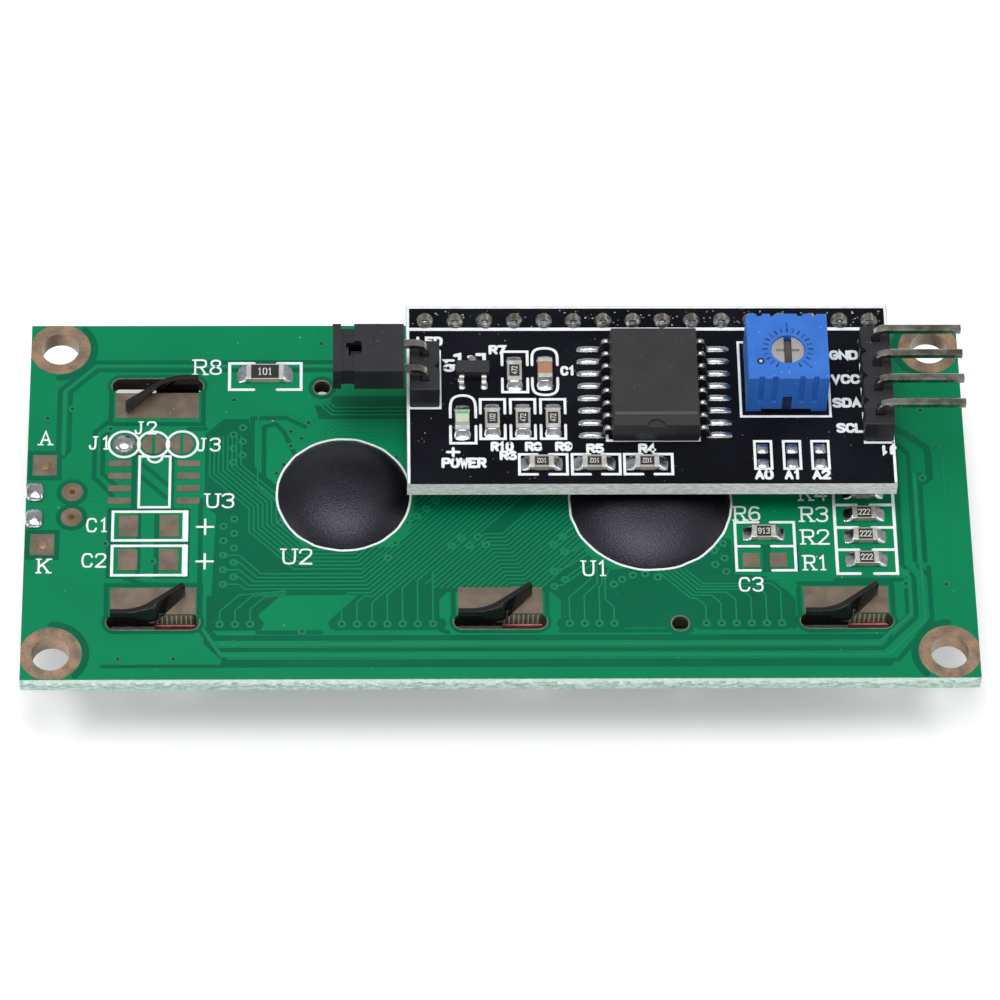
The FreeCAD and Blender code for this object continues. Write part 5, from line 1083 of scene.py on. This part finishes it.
for chip, text in zip(boardChips, ("101", "913", "222", "222", "222", "222")):
    markChip(*chip, boardTop + 0.55, text, 0)
for chip, text in zip(adapterChips, ("472", "102", "472", "472", None, None, "102", "102", "102")):
    if text:
        markChip(*chip, adapterTop + 0.55, text, 90 if chip[2] else 180)
newPiece("chipGlazes", glaze, "chipGlaze")
newPiece("valueNumbers", valueNumbers, "markWhite")

# stripe on the large chip's near end
stripe = Shape()
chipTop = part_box("expander_body")[1].z / mm
line(stripe, [(chipX - 3.35, 4.25), (chipX + 3.35, 4.25)], 0.3, chipTop, 0.006)
newPiece("chipStripe", stripe, "stripeGrey")

# specks of dried flux, most of them round the header joints
specks = Shape()
for _ in range(260):
    x, y = rng.uniform(-7.3, 33.2), rng.gauss(15.8, 0.55)
    if rng.random() < 0.3:
        y = rng.uniform(-0.9, 14.0)
    if y > 16.7 or any(math.hypot(x - a, y - b) < 0.85 for a, b in headerPlaces):
        continue
    size = rng.uniform(0.02, 0.085) * (1.2 if y > 14.8 else 0.6)
    blob = []
    for t in range(5):
        spotX = x + math.cos(t * 1.2566) * size * rng.uniform(0.5, 1.5)
        blob.append((spotX, y + math.sin(t * 1.2566) * size * rng.uniform(0.5, 1.3)))
    field(specks, blob, adapterTop + 0.002)
for _ in range(70):
    x, y = rng.uniform(-39, 39), rng.uniform(-17.3, 17.3)
    field(specks, arcPath(x, y, rng.uniform(0.02, 0.05), steps=5), boardTop + 0.002, 0.012)
newPiece("fluxSpecks", specks, "flux")

# dial, ring mark and painted slot shade of the trimmer, and the painted shade at the back of its gate
dial = {"ticks": 24, "tickWidth": 0.09, "inner": 1.7, "outer": 2.14, "long": 2.75, "mark": (-2.35, -1.25),
        "slot": (0.315, 1.32), "slotDeep": 0.7, "gateHalf": 0.5}
ticks, ringMark, ringDot, slotShade, gate = Shape(), Shape(), Shape(), Shape(), Shape()
rotorX, rotorY, _ = middleOf("trimmer_rotor")
housingLow, dialTop = [corner.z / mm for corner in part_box("trimmer_housing")]
for k in range(dial["ticks"]):
    if k not in (17, 18, 19):
        c, s = math.cos(math.radians(15 * k)), math.sin(math.radians(15 * k))
        near, far = dial["inner"], dial["long"] if k in (6, 21) else dial["outer"]
        line(ticks, [(rotorX + near * c, rotorY + near * s), (rotorX + far * c, rotorY + far * s)],
             dial["tickWidth"], dialTop, 0.004)
markX, markY = rotorX + dial["mark"][0], rotorY + dial["mark"][1]
ring(ringMark, markX, markY, 0.33, 0.17, dialTop, 0.008)
disc(ringDot, markX, markY, 0.12, dialTop, 0.008)
# dark patch on the floor of the rotor's slot: painted shade
field(slotShade, boxPath(rotorX, rotorY, *dial["slot"]),
      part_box("trimmer_rotor")[1].z / mm - dial["slotDeep"], 0.02)
# dark plate in front of the element, inside the gate: painted shade over the element seen through it
elementLow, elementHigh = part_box("trimmer_element")
gate.add([(x, elementLow.y / mm - 0.03, z) for x, z in rectanglePath(
    rotorX - dial["gateHalf"], housingLow + 0.05, rotorX + dial["gateHalf"], elementHigh.z / mm + 0.65)],
    [[0, 1, 2, 3]])
newPiece("gateShade", gate, "gateBlue")
newPiece("dialTicks", ticks, "dialBlue")
newPiece("dialRing", ringMark, "dialBlack")
newPiece("dialDot", ringDot, "markWhite")
newPiece("rotorSlotShade", slotShade, "paintedSlotShade", body="rotor")

# tint at the lens end and throats of the two ring pads
lensLow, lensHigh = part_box("power_lamp")
tint, throats, throatHoles = Shape(), Shape(), Shape()
field(tint, rectanglePath(lensLow.x / mm + 0.12, lensHigh.y / mm - 0.36, lensHigh.x / mm - 0.12,
                          lensHigh.y / mm - 0.08), lensHigh.z / mm)
newPiece("lensTint", tint, "lensGreen")
for x, y in boardPlaces["rings"]:
    disc(throats, x, y, 0.46, boardTop, 0.055)
    disc(throatHoles, x, y, 0.25, copperTop)
newPiece("padThroats", throats, "throatGold")
newPiece("padHoles", throatHoles, "throatDark")

# rounded free ends of the six slots, read from the board's own corners
slotEnd = {"radius": 0.62, "near": -12.25, "far": 11.55}
radius = slotEnd["radius"]
slotCorners = Shape()
boardSpots = [vertex.co / mm for vertex in nodes["main_board"].data.vertices]
for x in boardPlaces["slots"]:
    for side, y, start in ((-1, slotEnd["near"], 0), (1, slotEnd["far"], 180)):
        near = [spot for spot in boardSpots if abs(spot.x - x) < 4.2 and abs(spot.y - y) < 1.3]
        low, high = min(spot.y for spot in near), max(spot.y for spot in near)
        end = max(spot.x for spot in near) if side < 0 else min(spot.x for spot in near)
        for wall, turn in ((low, 1), (high, -1)):
            path = arcPath(end + side * radius, wall + turn * radius, radius, start, -90 * turn * -side, 8)
            field(slotCorners, [(end, wall)] + path, boardFront, boardTop - boardFront)
newPiece("slotCorners", slotCorners, "greenMask")

# pale band, ragged at its lower side, along the top of the near edge of the green board
topBand = {"half": 39.7, "steps": 170, "y": -18.003, "top": 0.05, "depth": (0.42, 0.95), "ragged": 0.1}
rim = Shape()
top = boardTop - topBand["top"]
for k in range(topBand["steps"]):
    a, b = [-topBand["half"] + 2 * topBand["half"] * step / topBand["steps"] for step in (k, k + 1)]
    depth = boardTop - rng.uniform(*topBand["depth"])
    rim.add([(a, topBand["y"], top), (b, topBand["y"], top),
             (b, topBand["y"], depth + rng.uniform(-topBand["ragged"], topBand["ragged"])), (a, topBand["y"], depth)],
            [[0, 3, 2, 1]])
newPiece("paleTopBand", rim, "paleTopBand")

# routed walls seen through the near slots, with their comb of cutter marks; the walls are coloured darker and
# browner than the board's cut fibre, as painted shade inside the slots
comb = {"wall": -11.6, "before": 0.012, "first": 0.1, "length": 3.7, "ribs": 9, "ribStep": 0.4,
        "ribStart": 0.25}
combs, ridges = Shape(), Shape()
wall = comb["wall"] - comb["before"]
for x in boardPlaces["slots"]:
    first = x + comb["first"]
    combs.add([(a, wall, b) for a,
               b in rectanglePath(first, boardFront, first + comb["length"], boardTop - 0.04)],
              [[0, 1, 2, 3]])
    for k in range(comb["ribs"]):
        rib = first + comb["ribStart"] + comb["ribStep"] * k
        foot, head = boardFront + 0.1, boardTop - 0.1
        ridges.add([(rib - 0.07, wall - 0.004, foot), (rib + 0.07, wall - 0.004, foot),
                    (rib + 0.05, wall - 0.03, head), (rib - 0.05, wall - 0.03, head)], [[0, 1, 2, 3]])
newPiece("slotWalls", combs, "slotWall")
newPiece("slotMarks", ridges, "cutterMark")

screen = {"columns": 16, "rows": 2, "pitchX": 3.55, "pitchY": 5.95, "middleY": -0.35, "dotX": 0.55,
          "dotY": 0.65,
          "gap": 0.05, "dotColumns": 5, "dotRows": 8}
cells = Shape()
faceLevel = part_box("front_polariser")[0].z / mm - 0.004
for column in range(screen["columns"]):
    for row in range(screen["rows"]):
        cellX = (column - (screen["columns"] - 1) / 2) * screen["pitchX"]
        cellY = screen["middleY"] + (row - (screen["rows"] - 1) / 2) * screen["pitchY"]
        for i in range(screen["dotColumns"]):
            for j in range(screen["dotRows"]):
                x = cellX + (i - 2) * (screen["dotX"] + screen["gap"])
                y = cellY + (j - 3.5) * (screen["dotY"] + screen["gap"])
                dot = boxPath(x, y, screen["dotX"] / 2, screen["dotY"] / 2)
                cells.add([(a, b, faceLevel) for a, b in dot], [[3, 2, 1, 0]])
newPiece("characterCells", cells, "cellBlue")
print("leads, pins and display cells made")

# camera, light and floor
shot = {"place": (-12.39, -265.17, 406.80), "right": (0.99965, -0.01616, 0.02074),
        "up": (0.00196, 0.83239, 0.55418), "forward": (0.02622, 0.55395, -0.83214), "lens": 202.99,
        "sensor": 36}
cameraData = bpy.data.cameras.new("photoCamera")
camera = bpy.data.objects.new("photoCamera", cameraData)
scene.collection.objects.link(camera)
cameraData.lens = shot["lens"]
cameraData.sensor_width = shot["sensor"]
cameraData.clip_start, cameraData.clip_end = 0.01, 20
axes = [Vector(shot["right"]), Vector(shot["up"]), -Vector(shot["forward"])]
turnMatrix = Matrix([[axis[i] for axis in axes] for i in range(3)]).to_4x4()
camera.matrix_world = Matrix.Translation(Vector(shot["place"]) * mm) @ turnMatrix
scene.camera = camera

lamps = {  # place and size in mm, strength in watts, aimed at the board
    "overhead": ((-30, -20, 640), 400, 260, 2.6), "leftFill": ((-520, -120, 260), 260, 300, 0.6),
    "frontFill": ((0, -600, 250), 500, 200, 0.5), "rightFill": ((520, 60, 300), 260, 300, 0.45),
    "farStrip": ((0, 600, 240), 700, 120, 0.12)}
for name, (place, width, height, watts) in lamps.items():
    lampData = bpy.data.lights.new(name, "AREA")
    lampData.shape = "RECTANGLE"
    lampData.size, lampData.size_y = width * mm, height * mm
    lampData.energy = watts
    lamp = bpy.data.objects.new(name, lampData)
    scene.collection.objects.link(lamp)
    lamp.location = Vector(place) * mm
    lamp.rotation_mode = "QUATERNION"
    lamp.rotation_quaternion = (-Vector(place)).to_track_quat("-Z", "Y")

room = {"strength": 0.45, "colour": (0.95, 0.97, 1.0, 1), "floorSize": 4.0, "floorDrop": 0.00002,
        "floorWhite": 0.86, "lift": 0.24}
world = bpy.data.worlds.new("studio")
scene.world = world
world.use_nodes = True
backdrop = world.node_tree.nodes["Background"]
backdrop.inputs["Color"].default_value = room["colour"]
backdrop.inputs["Strength"].default_value = room["strength"]

floorMesh = bpy.data.meshes.new("floor")
reach = room["floorSize"] / 2
floorMesh.from_pydata([(x, y, 0) for x, y in boxPath(0, 0, reach, reach)], [], [[0, 1, 2, 3]])
floor = bpy.data.objects.new("floor", floorMesh)
scene.collection.objects.link(floor)
floor.location.z = -room["floorDrop"]
paper = bpy.data.materials.new("whitePaper")
paper.use_nodes = True
tree = paper.node_tree
shader = tree.nodes["Principled BSDF"]
shader.inputs["Base Color"].default_value = (room["floorWhite"],) * 3 + (1,)
shader.inputs["Roughness"].default_value = 0.9
shader.inputs["Specular IOR Level"].default_value = 0.1
rays = addNode(tree, "ShaderNodeLightPath").outputs  # the floor looks whiter than it lights
seen = maths(tree, "MAXIMUM", rays["Is Camera Ray"], rays["Is Glossy Ray"])
seen = maths(tree, "MAXIMUM", seen, rays["Is Transmission Ray"])
tree.links.new(maths(tree, "MULTIPLY", seen, room["lift"]), shader.inputs["Emission Strength"])
shader.inputs["Emission Color"].default_value = (1, 1, 1, 1)
floorMesh.materials.append(paper)
scene.view_settings.view_transform = "Standard"

print("camera, lamps and floor set")
